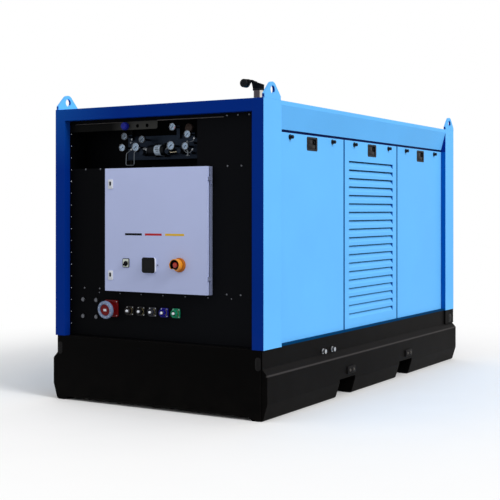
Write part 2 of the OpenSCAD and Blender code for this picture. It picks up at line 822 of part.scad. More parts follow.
// The grey bracket that hangs from the niche's front lip, with one round corner.
module gas_inlet_bracket() {
    color([0.42, 0.42, 0.42]) difference() {
        union() {
            box([bracket_x0, bracket_y, bracket_z0 + bracket_r],
                [bracket_x0 + bracket_w, bracket_y + sheet_t, bracket_z0 + bracket_h]);
            box([bracket_x0, bracket_y, bracket_z0],
                [bracket_x0 + bracket_w - bracket_r, bracket_y + sheet_t, bracket_z0 + 2 * bracket_r]);
            rod_y(bracket_x0 + bracket_w - bracket_r, bracket_y + sheet_t, bracket_z0 + bracket_r, bracket_r, sheet_t);
        }
        for (x = hole_x) rod_y(x, bracket_y + sheet_t + CUT, inlet_z, hole_r, sheet_t + 2 * CUT);
    }
}

// The gas inlet: a coupling through the bracket, with a blue dust cap.
module gas_inlet_coupling() {
    color([0.15, 0.22, 0.62]) {
        rod_y(inlet_x, bracket_y + 30, inlet_z, hole_r - run_gap, 60);
        rod_y(inlet_x, bracket_y, inlet_z, hole_r + 8, 14);
        rod_y(inlet_x, bracket_y - 13, inlet_z, inlet_cap_dia / 2, 40);
    }
}

gas_plate_y = bulkhead_y + gas_plate_back;
gas_plate_z0 = niche_z + gas_plate_lift;

module gas_back_plate() {
    x1 = gas_plate_x0 + gas_plate_w;
    color([0.48, 0.49, 0.5]) {
        box([gas_plate_x0, gas_plate_y, gas_plate_z0], [x1, gas_plate_y + 4, gas_plate_z0 + gas_plate_h]);
        box([gas_plate_x0, gas_plate_y - gas_lip, gas_plate_z0], [x1, gas_plate_y, gas_plate_z0 + 4]);
        for (x = [gas_plate_x0 + 20, x1 - 60])
            box([x, gas_plate_y + 4, gas_plate_z0 + 20], [x + 40, niche_back_y - front_t, gas_plate_z0 + 60]);
    }
}

// Each gauge: place from the back plate's lower left corner, and whether it is a large one.
gauges = [
    [[38, 191], false], [[16, 100], false], [[214, 161], false], [[152, 101], true], [[514, 251], false],
    [[657, 188], false], [[498, 103], true], [[636, 95], false]];
// The pressure regulators, the ends of the steel tubes and the filter, from the same corner.
regulators = [[204, 56], [454, 60], [570, 60]];
tube_ends = [[100, 78], [154, 54], [672, 123], [650, 44]];
filter_at = [244, 74];
gauge_y = gas_plate_y - gauge_reach;     // faces of the gauges

function on_plate(p) = [gas_plate_x0 + p[0], gas_plate_z0 + p[1]];

// A gauge faces the front, with its glass sunk in the bezel.
module gas_gauges() {
    color([0.9, 0.9, 0.9]) for (g = gauges) {
        at = on_plate(g[0]);
        dia = g[1] ? gauge_dia : small_gauge_dia;
        difference() {
            rod_y(at[0], gauge_y + gauge_d, at[1], dia / 2, gauge_d);
            rod_y(at[0], gauge_y + 3, at[1], dia / 2 - 3, 3 + CUT);
        }
    }
}

// The regulators and tube ends on the back plate, the gauges' stems, and the risers of the high gauges.
module gas_regulators() {
    color(STEEL) {
        for (r = regulators) {
            at = on_plate(r);
            rod_y(at[0], gas_plate_y, at[1], regulator_dia * 0.36, 96);
            rod_y(at[0], gas_plate_y - 18, at[1], regulator_dia / 2, 52);
        }
        for (e = tube_ends) {
            at = on_plate(e);
            rod_y(at[0], gas_plate_y, at[1], tubing_dia, tube_reach - tubing_dia / 2 - run_gap);
        }
        for (g = gauges) {
            at = on_plate(g[0]);
            rod_y(at[0], gas_plate_y, at[1], stem_dia / 2, gauge_reach - gauge_d);
            if (g[0][1] + stem_dia > gas_plate_h)
                box([at[0] - stem_dia, gas_plate_y - 20, gas_plate_z0 + gas_plate_h - 30],
                    [at[0] + stem_dia, gas_plate_y, at[1] + stem_dia]);
        }
    }
}

module gas_filter() {
    at = on_plate(filter_at);
    color(BLACK) translate([at[0], gas_plate_y - filter_dia / 2, at[1]]) rotate([0, 90, 0]) {
        cylinder(d = filter_dia, h = filter_l, $fn = SMOOTH);
        translate([0, 0, -8]) cylinder(d = filter_dia * 0.8, h = filter_l + 16, $fn = SMOOTH);
    }
    // the clamp that holds the filter to the back plate
    color(STEEL) box([at[0] + filter_l * 0.3, gas_plate_y - filter_dia / 2, at[1] - 20],
        [at[0] + filter_l * 0.7, gas_plate_y, at[1] + 20]);
}

// The signed turn at b, on the way from a to c.
function turn_at(a, b, c) =
    let (u = b - a, v = c - b) atan2(u[0] * v[1] - u[1] * v[0], u[0] * v[0] + u[1] * v[1]);

// The length that the bend at point i takes from each of its two straights.
function bend_trim(points, i, bend_r) =
    i == 0 || i == len(points) - 1 ? 0
    : bend_r * tan(abs(turn_at(points[i - 1], points[i], points[i + 1])) / 2);

// Round tubing through points in a plane. Each bend is a hair thicker than the straights that enter it.
module bent_tube(points, r, bend_r) {
    for (i = [0:len(points) - 2]) {
        way = (points[i + 1] - points[i]) / norm(points[i + 1] - points[i]);
        trim0 = bend_trim(points, i, bend_r) - (i > 0 ? CUT : 0);
        trim1 = bend_trim(points, i + 1, bend_r) - (i < len(points) - 2 ? CUT : 0);
        translate(points[i] + way * trim0) rotate([0, 90, atan2(way[1], way[0])])
            cylinder(r = r, h = norm(points[i + 1] - points[i]) - trim0 - trim1);
    }
    for (i = [1:len(points) - 2]) {
        turn = turn_at(points[i - 1], points[i], points[i + 1]);
        way = (points[i] - points[i - 1]) / norm(points[i] - points[i - 1]);
        start = points[i] - way * bend_trim(points, i, bend_r);
        centre = start + sign(turn) * bend_r * [-way[1], way[0]];
        angle = atan2(start[1] - centre[1], start[0] - centre[0]);
        translate(centre) rotate([0, 0, turn > 0 ? angle : angle + turn])
            rotate_extrude(angle = abs(turn)) translate([bend_r, 0]) circle(r = r + 0.6);
    }
}

// The steel tubing: a hanging loop at the left, and two hooked ends at the right.
module gas_tubing() {
    r = tubing_dia / 2;
    loop_foot = -50;                     // the loop hangs below the back plate
    color(STEEL) translate([gas_plate_x0, gas_plate_y - tube_reach, gas_plate_z0]) rotate([90, 0, 0]) {
        bent_tube([tube_ends[0], [68, 48], [68, loop_foot], [154, loop_foot], tube_ends[1]], r, 16);
        bent_tube([tube_ends[2], [702, 126], [716, 162]], r, 12);
        bent_tube([tube_ends[3], [698, 38], [716, 70]], r, 12);
    }
}

// ---- Control cabinet ----

module cabinet_body() {
    color(GREY) difference() {
        box([cab_x0, body_y, cab_z0], [cab_x1, body_y + cab_d, cab_z0 + cab_h]);
        box([cab_x0 + cab_t, body_y - CUT, cab_z0 + cab_t],
            [cab_x1 - cab_t, body_y + cab_d - cab_t, cab_z0 + cab_h - cab_t]);
    }
    // the rim beside the door's hinge edge
    color(GREY) box([door_x1 - 1, body_y, cab_z0], [cab_x1, body_y + cab_t, cab_z0 + cab_h]);
    // the fixed half of each hinge: a knuckle, and the pin that stands in it
    for (z = hinge_heights) color(GREY) {
        translate([hinge_x, hinge_y, z - knuckle_h]) cylinder(r = knuckle_r, h = knuckle_h);
        translate([hinge_x, hinge_y, z - CUT]) cylinder(r = pin_r, h = knuckle_h - 2 + CUT);
        box([cab_x1, hinge_y, z - knuckle_h], [cab_x1 + leaf_t, hinge_y + 24, z]);
    }
}

// Heights at which the door's knuckles stand on the fixed ones.
hinge_heights = [cab_z0 + hinge_inset, cab_z0 + cab_h - hinge_inset];

module mounting_plate() {
    inset = 50;
    y = body_y + cab_d - cab_t;
    color(STEEL) {
        box([cab_x0 + inset, y - 23, cab_z0 + inset], [cab_x1 - inset, y - 20, cab_z0 + cab_h - inset]);
        for (x = [cab_x0 + inset + 20, cab_x1 - inset - 20], z = [cab_z0 + inset + 20, cab_z0 + cab_h - inset - 20])
            rod_y(x, y, z, 8, 20);
    }
}

module cabinet_door() {
    color(GREY) difference() {
        union() {
            difference() {
                box([cab_x0, door_y, cab_z0], [door_x1, door_y + door_d, cab_z0 + cab_h]);
                box([cab_x0 + cab_t, door_y + cab_t, cab_z0 + cab_t],
                    [door_x1 - cab_t, door_y + door_d + CUT, cab_z0 + cab_h - cab_t]);
            }
            for (z = hinge_heights) {
                translate([hinge_x, hinge_y, z + run_gap]) cylinder(r = knuckle_r, h = knuckle_h);
                box([cab_x1, door_y + cab_t, z + run_gap],
                    [cab_x1 + leaf_t, hinge_y, z + run_gap + knuckle_h]);
                box([door_x1 - CUT, door_y + cab_t, z + run_gap],
                    [cab_x1 + CUT, door_y + door_d, z + run_gap + knuckle_h]);
            }
        }
        for (z = hinge_heights)
            translate([hinge_x, hinge_y, z - CUT]) cylinder(r = pin_r + run_gap, h = knuckle_h + 3 * CUT);
    }
}

// The two locks: an upright escutcheon with a round insert.
module door_locks() {
    color(STEEL) for (z = [cab_z0 + lock_inset_z, cab_z0 + cab_h - lock_inset_z]) {
        rounded_plate_y(cab_x0 + lock_inset_x, door_y, z, lock_w, lock_h, 5, 6);
        rod_y(cab_x0 + lock_inset_x, door_y - 4, z + lock_h * 0.12, lock_dia / 2, 5);
    }
}

// The key switch: a square plate with a round collar and a turning grip.
module selector_switch() {
    x = cab_x0 + selector_at[0];
    z = cab_z0 + selector_at[1];
    color(STEEL) {
        rounded_plate_y(x, door_y, z, selector_w, selector_h, 6, 6);
        rod_y(x, door_y - 5, z - 4, selector_w * 0.36, 9);
        rounded_plate_y(x, door_y - 13, z - 4, 12, selector_w * 0.62, 17, 5);
    }
}

// The control unit: a flat box with a sunk display.
module control_unit() {
    x = cab_x0 + control_at[0];
    z = cab_z0 + control_at[1];
    color(BLACK) difference() {
        rounded_plate_y(x, door_y, z, control_w, control_h, control_d, 8);
        box([x - control_w * 0.38, door_y - control_d - CUT, z - control_h * 0.25],
            [x + control_w * 0.38, door_y - control_d + 3, z + control_h * 0.38]);
    }
}

// The stop button: a yellow base and collar round a red mushroom head.
module stop_button() {
    x = cab_x0 + stop_at[0];
    z = cab_z0 + stop_at[1];
    color([0.95, 0.68, 0.08]) {
        rod_y(x, door_y, z, stop_base_dia / 2, 20);
        difference() {
            rod_y(x, door_y - 20, z, stop_collar_dia / 2, stop_d - 20);
            rod_y(x, door_y - 28, z, stop_collar_dia / 2 - 6, stop_d);
            // the notch for a padlock, at the lower left
            translate([x, door_y - stop_d + 10, z]) rotate([0, 130, 0])
                translate([0, -20, -9]) cube([60, 26, 18]);
        }
    }
    color([0.75, 0.08, 0.05]) {
        rod_y(x, door_y - 27, z, 12, 14);
        rod_y(x, door_y - 40, z, stop_head_dia / 2, 12);
    }
}

// ---- Sockets ----

module power_socket() {
    x = -inner_x + socket_inset;
    z = base_h + socket_lift;
    color([0.72, 0.08, 0.08]) rounded_plate_y(x, bulkhead_y, z, socket_flange, socket_flange, 14, 10);
    translate([x, bulkhead_y - 10, z]) rotate([90 + socket_tilt, 0, 0]) {
        color([0.72, 0.08, 0.08]) cylinder(d = socket_flange * 0.86, h = socket_d - 28, $fn = SMOOTH);
        color(GREY) translate([0, 0, socket_d - 40]) difference() {
            cylinder(d = socket_ring, h = 30, $fn = SMOOTH);
            translate([0, 0, 20]) cylinder(d = socket_ring * 0.62, h = 20, $fn = SMOOTH);
        }
    }
}

module power_connectors() {
    for (i = [0:connector_count - 1])
        translate([-inner_x + connector_inset + i * connector_pitch, bulkhead_y, base_h + connector_lift]) {
        color(BLACK) rounded_plate_y(0, 0, 0, connector_flange, connector_flange, 8, 8);
        color(STEEL) rod_y(0, -8, 0, 32, 10);
        color(BLACK) rod_y(0, -18, 0, 28, connector_d - 18);
        color([0.9, 0.9, 0.9]) translate([0, -connector_d, 0]) sphere(r = 13);
    }
}

module blanking_plugs() {
    color(STEEL) for (i = [0, 1], k = [0, 1]) {
        x = -inner_x + plug_inset + i * plug_pitch;
        z = base_h + plug_lift + k * plug_pitch;
        rod_y(x, bulkhead_y, z, 17, 8);
        rod_y(x, bulkhead_y - 7, z, 12, 6);
    }
}

// ---- Exhaust ----

module exhaust_pipe() {
    color(STEEL) translate([0, pipe_y, 0]) {
        difference() {
            union() {
                translate([0, 0, top_z - 160]) cylinder(d = pipe_dia, h = pipe_h + 160, $fn = SMOOTH);
                translate([0, 0, top_z - sheet_t]) cylinder(d = pipe_flange_dia, h = 8, $fn = SMOOTH);
            }
            translate([0, 0, top_z - 161]) cylinder(d = pipe_dia - 6, h = pipe_h + 200, $fn = SMOOTH);
        }
    }
}

// The clamp ring of the rain cap, cut off at a slant, with two ears for the hinge pin.
module rain_cap_collar() {
    color(BLACK) translate([0, pipe_y, 0]) {
        difference() {
            translate([0, 0, pipe_top - collar_h]) cylinder(r = collar_r, h = 3 * collar_h, $fn = SMOOTH);
            translate([0, 0, pipe_top - collar_h - CUT])
                cylinder(d = pipe_dia, h = 4 * collar_h, $fn = SMOOTH);
            translate([0, 0, cap_z]) rotate([0, cap_tilt, 0]) translate([-200, -200, 0]) cube(400);
        }
        for (y = [ear_gap / 2 + ear_t, -ear_gap / 2])
            translate([0, y, 0]) rotate([90, 0, 0]) linear_extrude(ear_t) difference() {
                union() {
                    polygon([[-collar_r + 2, pipe_top - collar_h + 8], [-collar_r + 2, cap_z - 4],
                        cap_hinge + [4, 6], cap_hinge + [-7, -4]]);
                    translate(cap_hinge) circle(r = 8);
                }
                translate(cap_hinge) circle(r = pin_r + run_gap);
            }
    }
}

// The flap: a disc over the pipe, an arm over the hinge, and a round counterweight.
module rain_cap_flap() {
    arm_w = ear_gap - 3;
    color(BLACK) translate([0, pipe_y, 0]) {
        translate([0, 0, cap_z]) rotate([0, cap_tilt, 0]) {
            translate([0, 0, cap_lift]) cylinder(r = collar_r + 4, h = 4, $fn = SMOOTH);
            translate([cap_hinge_seat[0], -arm_w / 2, cap_lift]) cube([collar_r, arm_w, 11]);
        }
        translate([cap_hinge[0], 0, cap_hinge[1]]) rotate([90, 0, 0]) {
            translate([0, 0, -ear_gap / 2 - ear_t]) cylinder(r = pin_r, h = ear_gap + 2 * ear_t);
            translate([0, 0, -ear_gap / 2 + run_gap]) cylinder(r = 7, h = ear_gap - 2 * run_gap);
        }
        bar_y(-arm_w / 2, arm_w / 2, [cap_hinge + [4, 7], cap_hinge + [-8, -8],
            [weight_x + 12, weight_z - weight_r + 4], [weight_x + 8, weight_z + weight_r - 2]]);
        translate([weight_x, 8, weight_z]) rotate([90, 0, 0]) cylinder(r = weight_r, h = 16, $fn = SMOOTH);
    }
}

skid(false);  // skid_right
skid(true);  // skid_left
end_plate();  // end_plate_front
mirror([0, 1, 0]) end_plate();  // end_plate_rear
deck_plate();
fork_tunnels();
fork_pads();
skid_covers();
filler_fittings();
post(true, front_y, bay_y0);  // post_front_left
post(false, front_y, bay_y0);  // post_front_right
post(true, bay_y1, rear_y);  // post_rear_left
post(false, bay_y1, rear_y);  // post_rear_right
end_beam();  // beam_front
mirror([0, 1, 0]) end_beam();  // beam_rear
cornice(false);  // cornice_right
cornice(true);  // cornice_left
lifting_lugs();
roof_panel();
sills();
mullions();
side_panel(false, 0, false);  // panel_right_front
side_panel(false, 1, true);  // panel_right_louvred
side_panel(false, 2, false);  // panel_right_rear
side_panel(true, 0, false);  // panel_left_front
side_panel(true, 1, true);  // panel_left_louvred
side_panel(true, 2, false);  // panel_left_rear
rear_panel_louvred();
rear_panels_plain();
paddle_latches();
wing_knobs();
connector_panel();
front_panels_side();
front_panel_upper();
gas_niche();
gas_inlet_bracket();
gas_inlet_coupling();
gas_back_plate();
gas_gauges();
gas_regulators();
gas_filter();
gas_tubing();
cabinet_body();
mounting_plate();
cabinet_door();
door_locks();
selector_switch();
control_unit();
stop_button();
power_socket();
power_connectors();
blanking_plugs();
exhaust_pipe();
rain_cap_collar();
rain_cap_flap();
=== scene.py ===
"""Looks of a skid-mounted hydrogen generator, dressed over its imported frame.

Lengths are in metres. The control end faces -Y, X is to the right of someone who faces it, and Z is up.
"""

import math
from functools import partialmethod

import bmesh
import bpy
from bpy.props import FloatProperty, FloatVectorProperty, IntProperty, PointerProperty
from mathutils import Matrix, Vector


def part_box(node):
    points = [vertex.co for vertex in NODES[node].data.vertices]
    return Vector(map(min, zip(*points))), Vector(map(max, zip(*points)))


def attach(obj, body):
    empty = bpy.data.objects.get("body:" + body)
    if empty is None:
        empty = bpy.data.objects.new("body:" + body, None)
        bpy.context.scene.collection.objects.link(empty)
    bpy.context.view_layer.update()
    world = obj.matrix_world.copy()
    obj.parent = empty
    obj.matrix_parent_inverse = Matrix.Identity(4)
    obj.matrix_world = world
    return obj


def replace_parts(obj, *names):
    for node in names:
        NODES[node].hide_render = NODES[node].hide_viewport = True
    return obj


bl_info = {
    "name": "Hydrogen generator dressing",
    "version": (1, 0, 0),
    "blender": (4, 5, 0),
    "location": "3D View > Sidebar > Generator",
    "description": "Finishes, fasteners, gauges, sockets and studio stage of a hydrogen generator",
    "category": "Object",
}

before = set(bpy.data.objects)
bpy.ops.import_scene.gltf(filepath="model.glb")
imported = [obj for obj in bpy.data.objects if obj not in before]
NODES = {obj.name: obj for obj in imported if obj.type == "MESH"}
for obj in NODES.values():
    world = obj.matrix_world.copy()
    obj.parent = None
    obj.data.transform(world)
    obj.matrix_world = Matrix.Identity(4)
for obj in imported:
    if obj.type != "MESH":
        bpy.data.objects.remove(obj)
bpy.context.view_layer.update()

FRONT, REAR = Vector((0, -1, 0)), Vector((0, 1, 0))
RIGHT, LEFT = Vector((1, 0, 0)), Vector((-1, 0, 0))
UP, DOWN = Vector((0, 0, 1)), Vector((0, 0, -1))
FILM = 0.0004              # a printed or stuck film stands this far proud
TURN = 2 * math.pi
ORIGIN = Matrix.Identity(4)


# ---- Sizes and colours ----

def srgb(red, green, blue):
    """The linear colour of three 8-bit display values."""
    def linear(value):
        share = value / 255
        return share / 12.92 if share <= 0.04045 else ((share + 0.055) / 1.055) ** 2.4
    return linear(red), linear(green), linear(blue)


def colour_of(name, description, red, green, blue):
    """A colour property, with its default given in 8-bit display values."""
    return FloatVectorProperty(name=name, description=description, subtype="COLOR", size=3,
                               min=0, max=1, default=srgb(red, green, blue))


def length_of(name, description, default, low=0.0, high=1.0):
    """A length property in metres."""
    return FloatProperty(name=name, description=description, default=default, min=low, max=high,
                         unit="LENGTH", subtype="DISTANCE")


class GeneratorColours(bpy.types.PropertyGroup):
    """Colours of the generator's finishes."""
    # Painted sun and shade: the long sides' light blue and the end frames' dark blue are one coat, sunlit and
    # shaded.
    canopy_light: colour_of("Canopy, long sides", "Powder coat of the long sides and the roof", 104, 187, 253)
    canopy_dark: colour_of("Canopy, end frames", "Powder coat of the end frames", 0, 46, 140)
    # Painted shade: the sills' dark teal stands for the shade under the panels.
    sill: colour_of("Sills", "Coat of the sills in the shade of the panels", 0, 56, 97)
    # Painted shade: the joints' blue stands for the shade in the gaps between the panels.
    joint: colour_of("Panel joints", "Coat along the joints of the panels", 0, 92, 168)
    # Painted shade: the reveals' blue is their shade, a little lighter than the end frames' because of bounce
    # light from the panels beside them.
    reveal: colour_of("Canopy, reveals", "Powder coat of the posts' sides beside the panels", 0, 92, 181)
    skid: colour_of("Skid", "Coat of the skid", 14, 13, 13)
    front_panels: colour_of("Front panels", "Coat of the recessed front panels", 9, 10, 13)
    # Painted sky light: the blue cast of this light grey stands for the blue shade light on the front.
    cabinet: colour_of("Cabinet", "Textured coat of the control cabinet", 187, 198, 239)
    grey_sheet: colour_of("Grey sheet", "Paint of the gas bracket", 62, 62, 60)
    black_moulding: colour_of("Black plastic", "Moulded black plastic", 16, 17, 18)
    grey_moulding: colour_of("Grey plastic", "Moulded grey plastic", 44, 40, 38)
    white_moulding: colour_of("White plastic", "Moulded white plastic", 226, 230, 240)
    ring_grey: colour_of("Socket ring", "Moulded ring of the power socket", 116, 134, 168)
    socket_red: colour_of("Socket red", "Moulded red plastic of the power socket", 112, 8, 14)
    cap_blue: colour_of("Dust cap", "Moulded cap of the gas inlet", 24, 32, 138)
    safety_yellow: colour_of("Safety yellow", "Yellow plastic of the stop button", 228, 146, 24)
    mushroom_red: colour_of("Stop head", "Red plastic of the stop button's head", 182, 42, 22)
    # Painted shade: the dial's grey-blue stands for a white dial in the niche's shade.
    dial_white: colour_of("Dial", "Printed face of a gauge", 146, 168, 192)
    dust: colour_of("Dust", "Dust that settles on the coats", 150, 142, 132)


class FastenerSizes(bpy.types.PropertyGroup):
    """Sizes of the screws and bolts."""
    panel_screw: length_of("Panel screw", "Head of a front panel's screw, across", 0.012, 0.008, 0.03)
    rivet: length_of("Rivet", "Head of a rivet, across", 0.008, 0.004, 0.02)
    bolt: length_of("Bolt", "Head of a skid bolt, across flats", 0.024, 0.012, 0.04)
    small_bolt: length_of("Small bolt", "Head of a flange screw, across", 0.008, 0.004, 0.02)


class GaugeSizes(bpy.types.PropertyGroup):
    """Sizes of a pressure gauge."""
    bezel: length_of("Bezel", "Width of the bezel round a dial", 0.0042, 0.002, 0.01)
    marks: IntProperty(name="Marks", description="Scale marks on a dial", default=31, min=11, max=61)
    sweep: FloatProperty(name="Sweep", description="Angle that the scale goes round", subtype="ANGLE",
                         default=math.radians(270), min=math.radians(180), max=math.radians(320))


class StageValues(bpy.types.PropertyGroup):
    """The camera, the lamps and the floor."""
    camera_place: FloatVectorProperty(name="Camera", description="Place of the camera", subtype="TRANSLATION",
                                      unit="LENGTH", default=(5.022, -8.91, 1.574))
    camera_turn: FloatProperty(name="Camera turn", description="Turn of the camera about the upright",
                               subtype="ANGLE", default=math.radians(30.887))
    lens: FloatProperty(name="Lens", description="Focal length in millimetres", default=77.71, min=20,
                        max=200)
    lens_shift: FloatProperty(name="Shift", description="Upright shift of the lens", default=-0.08)
    key_level: FloatProperty(name="Key", description="Share of light from the key lamp", default=0.62, min=0)
    ambient: FloatProperty(name="Ambient", description="Light from all round", default=0.68, min=0)
    floor_bounce: FloatProperty(name="Floor bounce",
                                description="Share of light that the floor sends back up", default=0.42,
                                min=0, max=1)
    floor_span: length_of("Floor", "Half width of the floor", 40.0, 5.0, 100.0)


GROUPS = {
    "generator_colours": GeneratorColours,
    "generator_fasteners": FastenerSizes,
    "generator_gauges": GaugeSizes,
    "generator_stage": StageValues,
}


def colours():
    return bpy.context.scene.generator_colours


def fasteners():
    return bpy.context.scene.generator_fasteners


# ---- Shapes ----

def facing_turn(facing):
    """The turn that lays Z along facing, with Y as near to upright as it can be."""
    z = Vector(facing).normalized()
    upright = UP if abs(z.dot(UP)) < 0.99 else REAR
    x = upright.cross(z).normalized()
    return Matrix((x, z.cross(x), z)).transposed().to_4x4()


def place(at, facing=FRONT, roll=0.0):
    """A place whose Z axis is the outward way, X is to the right and Y is up for someone who looks at it."""
    return Matrix.Translation(Vector(at)) @ facing_turn(facing) @ Matrix.Rotation(roll, 4, "Z")


def shifted(at, x, y, z):
    """A place moved along its own axes."""
    return at @ Matrix.Translation((x, y, z))


def around(at, count, phase=0.0):
    """A place turned to evenly spaced angles about its axis."""
    return [at @ Matrix.Rotation(TURN * (i + phase) / count, 4, "Z") for i in range(count)]


def middle(box):
    return (box[0] + box[1]) / 2


def seat(box):
    """Where a front piece stands on its panel, with its width, height and depth."""
    centre, size = middle(box), box[1] - box[0]
    return place((centre.x, box[1].y, centre.z)), size.x, size.z, size.y


def corners_of(at, reach, lift):
    """The four corners of a square flange, as spots for its screws."""
    return [(shifted(at, u * reach, v * reach, lift).translation, FRONT) for u in (-1, 1) for v in (-1, 1)]


def arc(radius, start, end, steps, centre=(0.0, 0.0)):
    """Points of an arc, with angles in radians."""
    angles = [start + (end - start) * i / steps for i in range(steps + 1)]
    return [(centre[0] + radius * math.cos(a), centre[1] + radius * math.sin(a)) for a in angles]


def disc(radius, steps=32, centre=(0.0, 0.0)):
    return arc(radius, 0, TURN, steps, centre)[:-1]


def rectangle(width, height, radius=0.0, centre=(0.0, 0.0), steps=4):
    """A rectangle's outline about its centre, with round corners."""
    right, top = width / 2 - radius, height / 2 - radius
    if radius == 0:
        corners = [(right, -top), (right, top), (-right, top), (-right, -top)]
        return [(centre[0] + u, centre[1] + v) for u, v in corners]
    points = []
    for i, (u, v) in enumerate([(right, top), (-right, top), (-right, -top), (right, -top)]):
        points += arc(radius, i * TURN / 4, (i + 1) * TURN / 4, steps, (centre[0] + u, centre[1] + v))
    return points


def inset(outline, distance):
    """An anticlockwise outline moved inwards."""
    moved = []
    for i, point in enumerate(outline):
        before = Vector(point) - Vector(outline[i - 1])
        after = Vector(outline[(i + 1) % len(outline)]) - Vector(point)
        a = Vector((-before.y, before.x)).normalized()
        b = Vector((-after.y, after.x)).normalized()
        way = (a + b).normalized()
        moved.append(tuple(Vector(point) + way * distance / max(way.dot(a), 0.3)))
    return moved


class Shape:
    """A mesh that grows form by form. A form stands at a place, with its height along the place's Z axis."""

    def __init__(self):
        self.mesh = bmesh.new()

    def ring(self, points, at, height):
        return [self.mesh.verts.new(at @ Vector((u, v, height))) for u, v in points]

    def bridge(self, low, high):
        """Faces between two rings. A ring of one vertex is a pole."""
        count = max(len(low), len(high))
        for i in range(count):
            k = (i + 1) % count
            corners = [low[i % len(low)], low[k % len(low)], high[k % len(high)], high[i % len(high)]]
            self.mesh.faces.new(list(dict.fromkeys(corners)))

    def turned(self, profile, at, steps=32, closed=False, flat_foot=False):
        """Turns (radius, height) points about the axis. An open profile is led to the axis at both ends."""
        if not closed:
            foot = [] if flat_foot else [(0, profile[0][1])]
            crown = [(0, profile[-1][1])] if profile[-1][0] else []
            profile = foot + profile + crown
        rings = [self.ring(disc(r, steps) if r else [(0, 0)], at, height) for r, height in profile]
        for low, high in zip(rings, rings[1:]):
            self.bridge(low, high)
        if closed:
            self.bridge(rings[-1], rings[0])
        elif flat_foot:
            self.mesh.faces.new(rings[0])

    def prism(self, outline, at, depth, edge=0.0, steps=2, base=0.0):
        """Pushes an outline out by depth, with its outer rim rounded by edge."""
        levels = [(base, 0.0)]
        if edge:
            for i in range(steps + 1):
                angle = TURN / 4 * i / steps
                levels.append((base + depth - edge + edge * math.sin(angle), edge * (1 - math.cos(angle))))
        else:
            levels.append((base + depth, 0.0))
        rings = [self.ring(inset(outline, way) if way else outline, at, height) for height, way in levels]
        for low, high in zip(rings, rings[1:]):
            self.bridge(low, high)
        self.mesh.faces.new(rings[0])
        self.mesh.faces.new(rings[-1])

    def slab(self, size, at, depth, **rim):
        """A prism of a rectangle, whose size is its width, height, corner radius and centre."""
        self.prism(rectangle(*size), at, depth, **rim)

    def frame(self, outer, inner, at, depth, base=0.0):
        """A flat ring between two outlines that have the same number of points."""
        rings = [self.ring(outer, at, base), self.ring(outer, at, base + depth),
                 self.ring(inner, at, base + depth), self.ring(inner, at, base)]
        for low, high in zip(rings, rings[1:] + rings[:1]):
            self.bridge(low, high)

    def block(self, low, high, edge=0.0, segments=2):
        """A box from its lowest to its highest corner, with rounded edges."""
        low, high = Vector(low), Vector(high)
        size = high - low
        made = bmesh.ops.create_cube(self.mesh, size=1.0)["verts"]
        for vert in made:
            vert.co = (low + high) / 2 + Vector(vert.co[i] * size[i] for i in range(3))
        if edge:
            edges = list({e for v in made for e in v.link_edges})
            bmesh.ops.bevel(self.mesh, geom=edges, offset=edge, segments=segments, affect="EDGES",
                            profile=0.5)

    def tube(self, points, radius, sides=10):
        """A round bar along points, with flat ends."""
        points = [Vector(p) for p in points]
        ways = [(b - a).normalized() for a, b in zip(points, points[1:])]
        across = ways[0].orthogonal().normalized()
        rings = []
        for i, point in enumerate(points):
            way = (ways[max(i - 1, 0)] + ways[min(i, len(ways) - 1)]).normalized()
            across = (across - way * across.dot(way)).normalized()
            other = way.cross(across)
            angles = [TURN * k / sides for k in range(sides)]
            rings.append([self.mesh.verts.new(point + (across * math.cos(a) + other * math.sin(a)) * radius)
                          for a in angles])
        for low, high in zip(rings, rings[1:]):
            self.bridge(low, high)
        self.mesh.faces.new(rings[0])
        self.mesh.faces.new(rings[-1])

    def data(self, name):
        """The shape as mesh data, with its faces outwards."""
        bmesh.ops.recalc_face_normals(self.mesh, faces=self.mesh.faces)
        data = bpy.data.meshes.new(name)
        self.mesh.to_mesh(data)
        self.mesh.free()
        return data

    def done(self, name, finish_name, slot, body="housing", sharp=35):
        """The finished piece, on its body and with its finish. Its slot is not used."""
        data = self.data(name)
        data.materials.append(finish(finish_name))
        return dressed(name, data, body, sharp)


def dressed(name, data, body, sharp=35):
    """A mesh as a piece of the generator, shaded smooth up to the sharp angle in degrees."""
    data.polygons.foreach_set("use_smooth", [True] * len(data.polygons))
    data.set_sharp_from_angle(angle=math.radians(sharp))
    piece = bpy.data.objects.new(name, data)
    bpy.context.scene.collection.objects.link(piece)
    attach(piece, body)
    return piece


def solids_of(node, apart=False):
    """The (lowest, highest) corners of each solid of a CAD node, from the left and from the foot.

    Solids whose boxes meet count as one, unless they are asked for apart.
    """
    mesh = bmesh.new()
    mesh.from_mesh(NODES[node].data)
    bmesh.ops.remove_doubles(mesh, verts=mesh.verts, dist=1e-5)
    waiting, boxes = set(mesh.verts), []
    while waiting:
        reached = [waiting.pop()]
        for vert in reached:
            for edge in vert.link_edges:
                other = edge.other_vert(vert)
                if other in waiting:
                    waiting.remove(other)
                    reached.append(other)
        corners = [v.co for v in reached]
        boxes.append((Vector(min(c[i] for c in corners) for i in range(3)),
                      Vector(max(c[i] for c in corners) for i in range(3))))
    mesh.free()
    found = []
    for low, high in boxes:
        for other in [] if apart else [box for box in found if boxes_meet(box, (low, high))]:
            found.remove(other)
            low = Vector(map(min, low, other[0]))
            high = Vector(map(max, high, other[1]))
        found.append((low, high))
    return sorted(found, key=lambda box: (round(box[0].x, 3), box[0].z, box[0].y))


def boxes_meet(a, b):
    return all(a[0][i] <= b[1][i] and b[0][i] <= a[1][i] for i in range(3))


# ---- Node trees ----

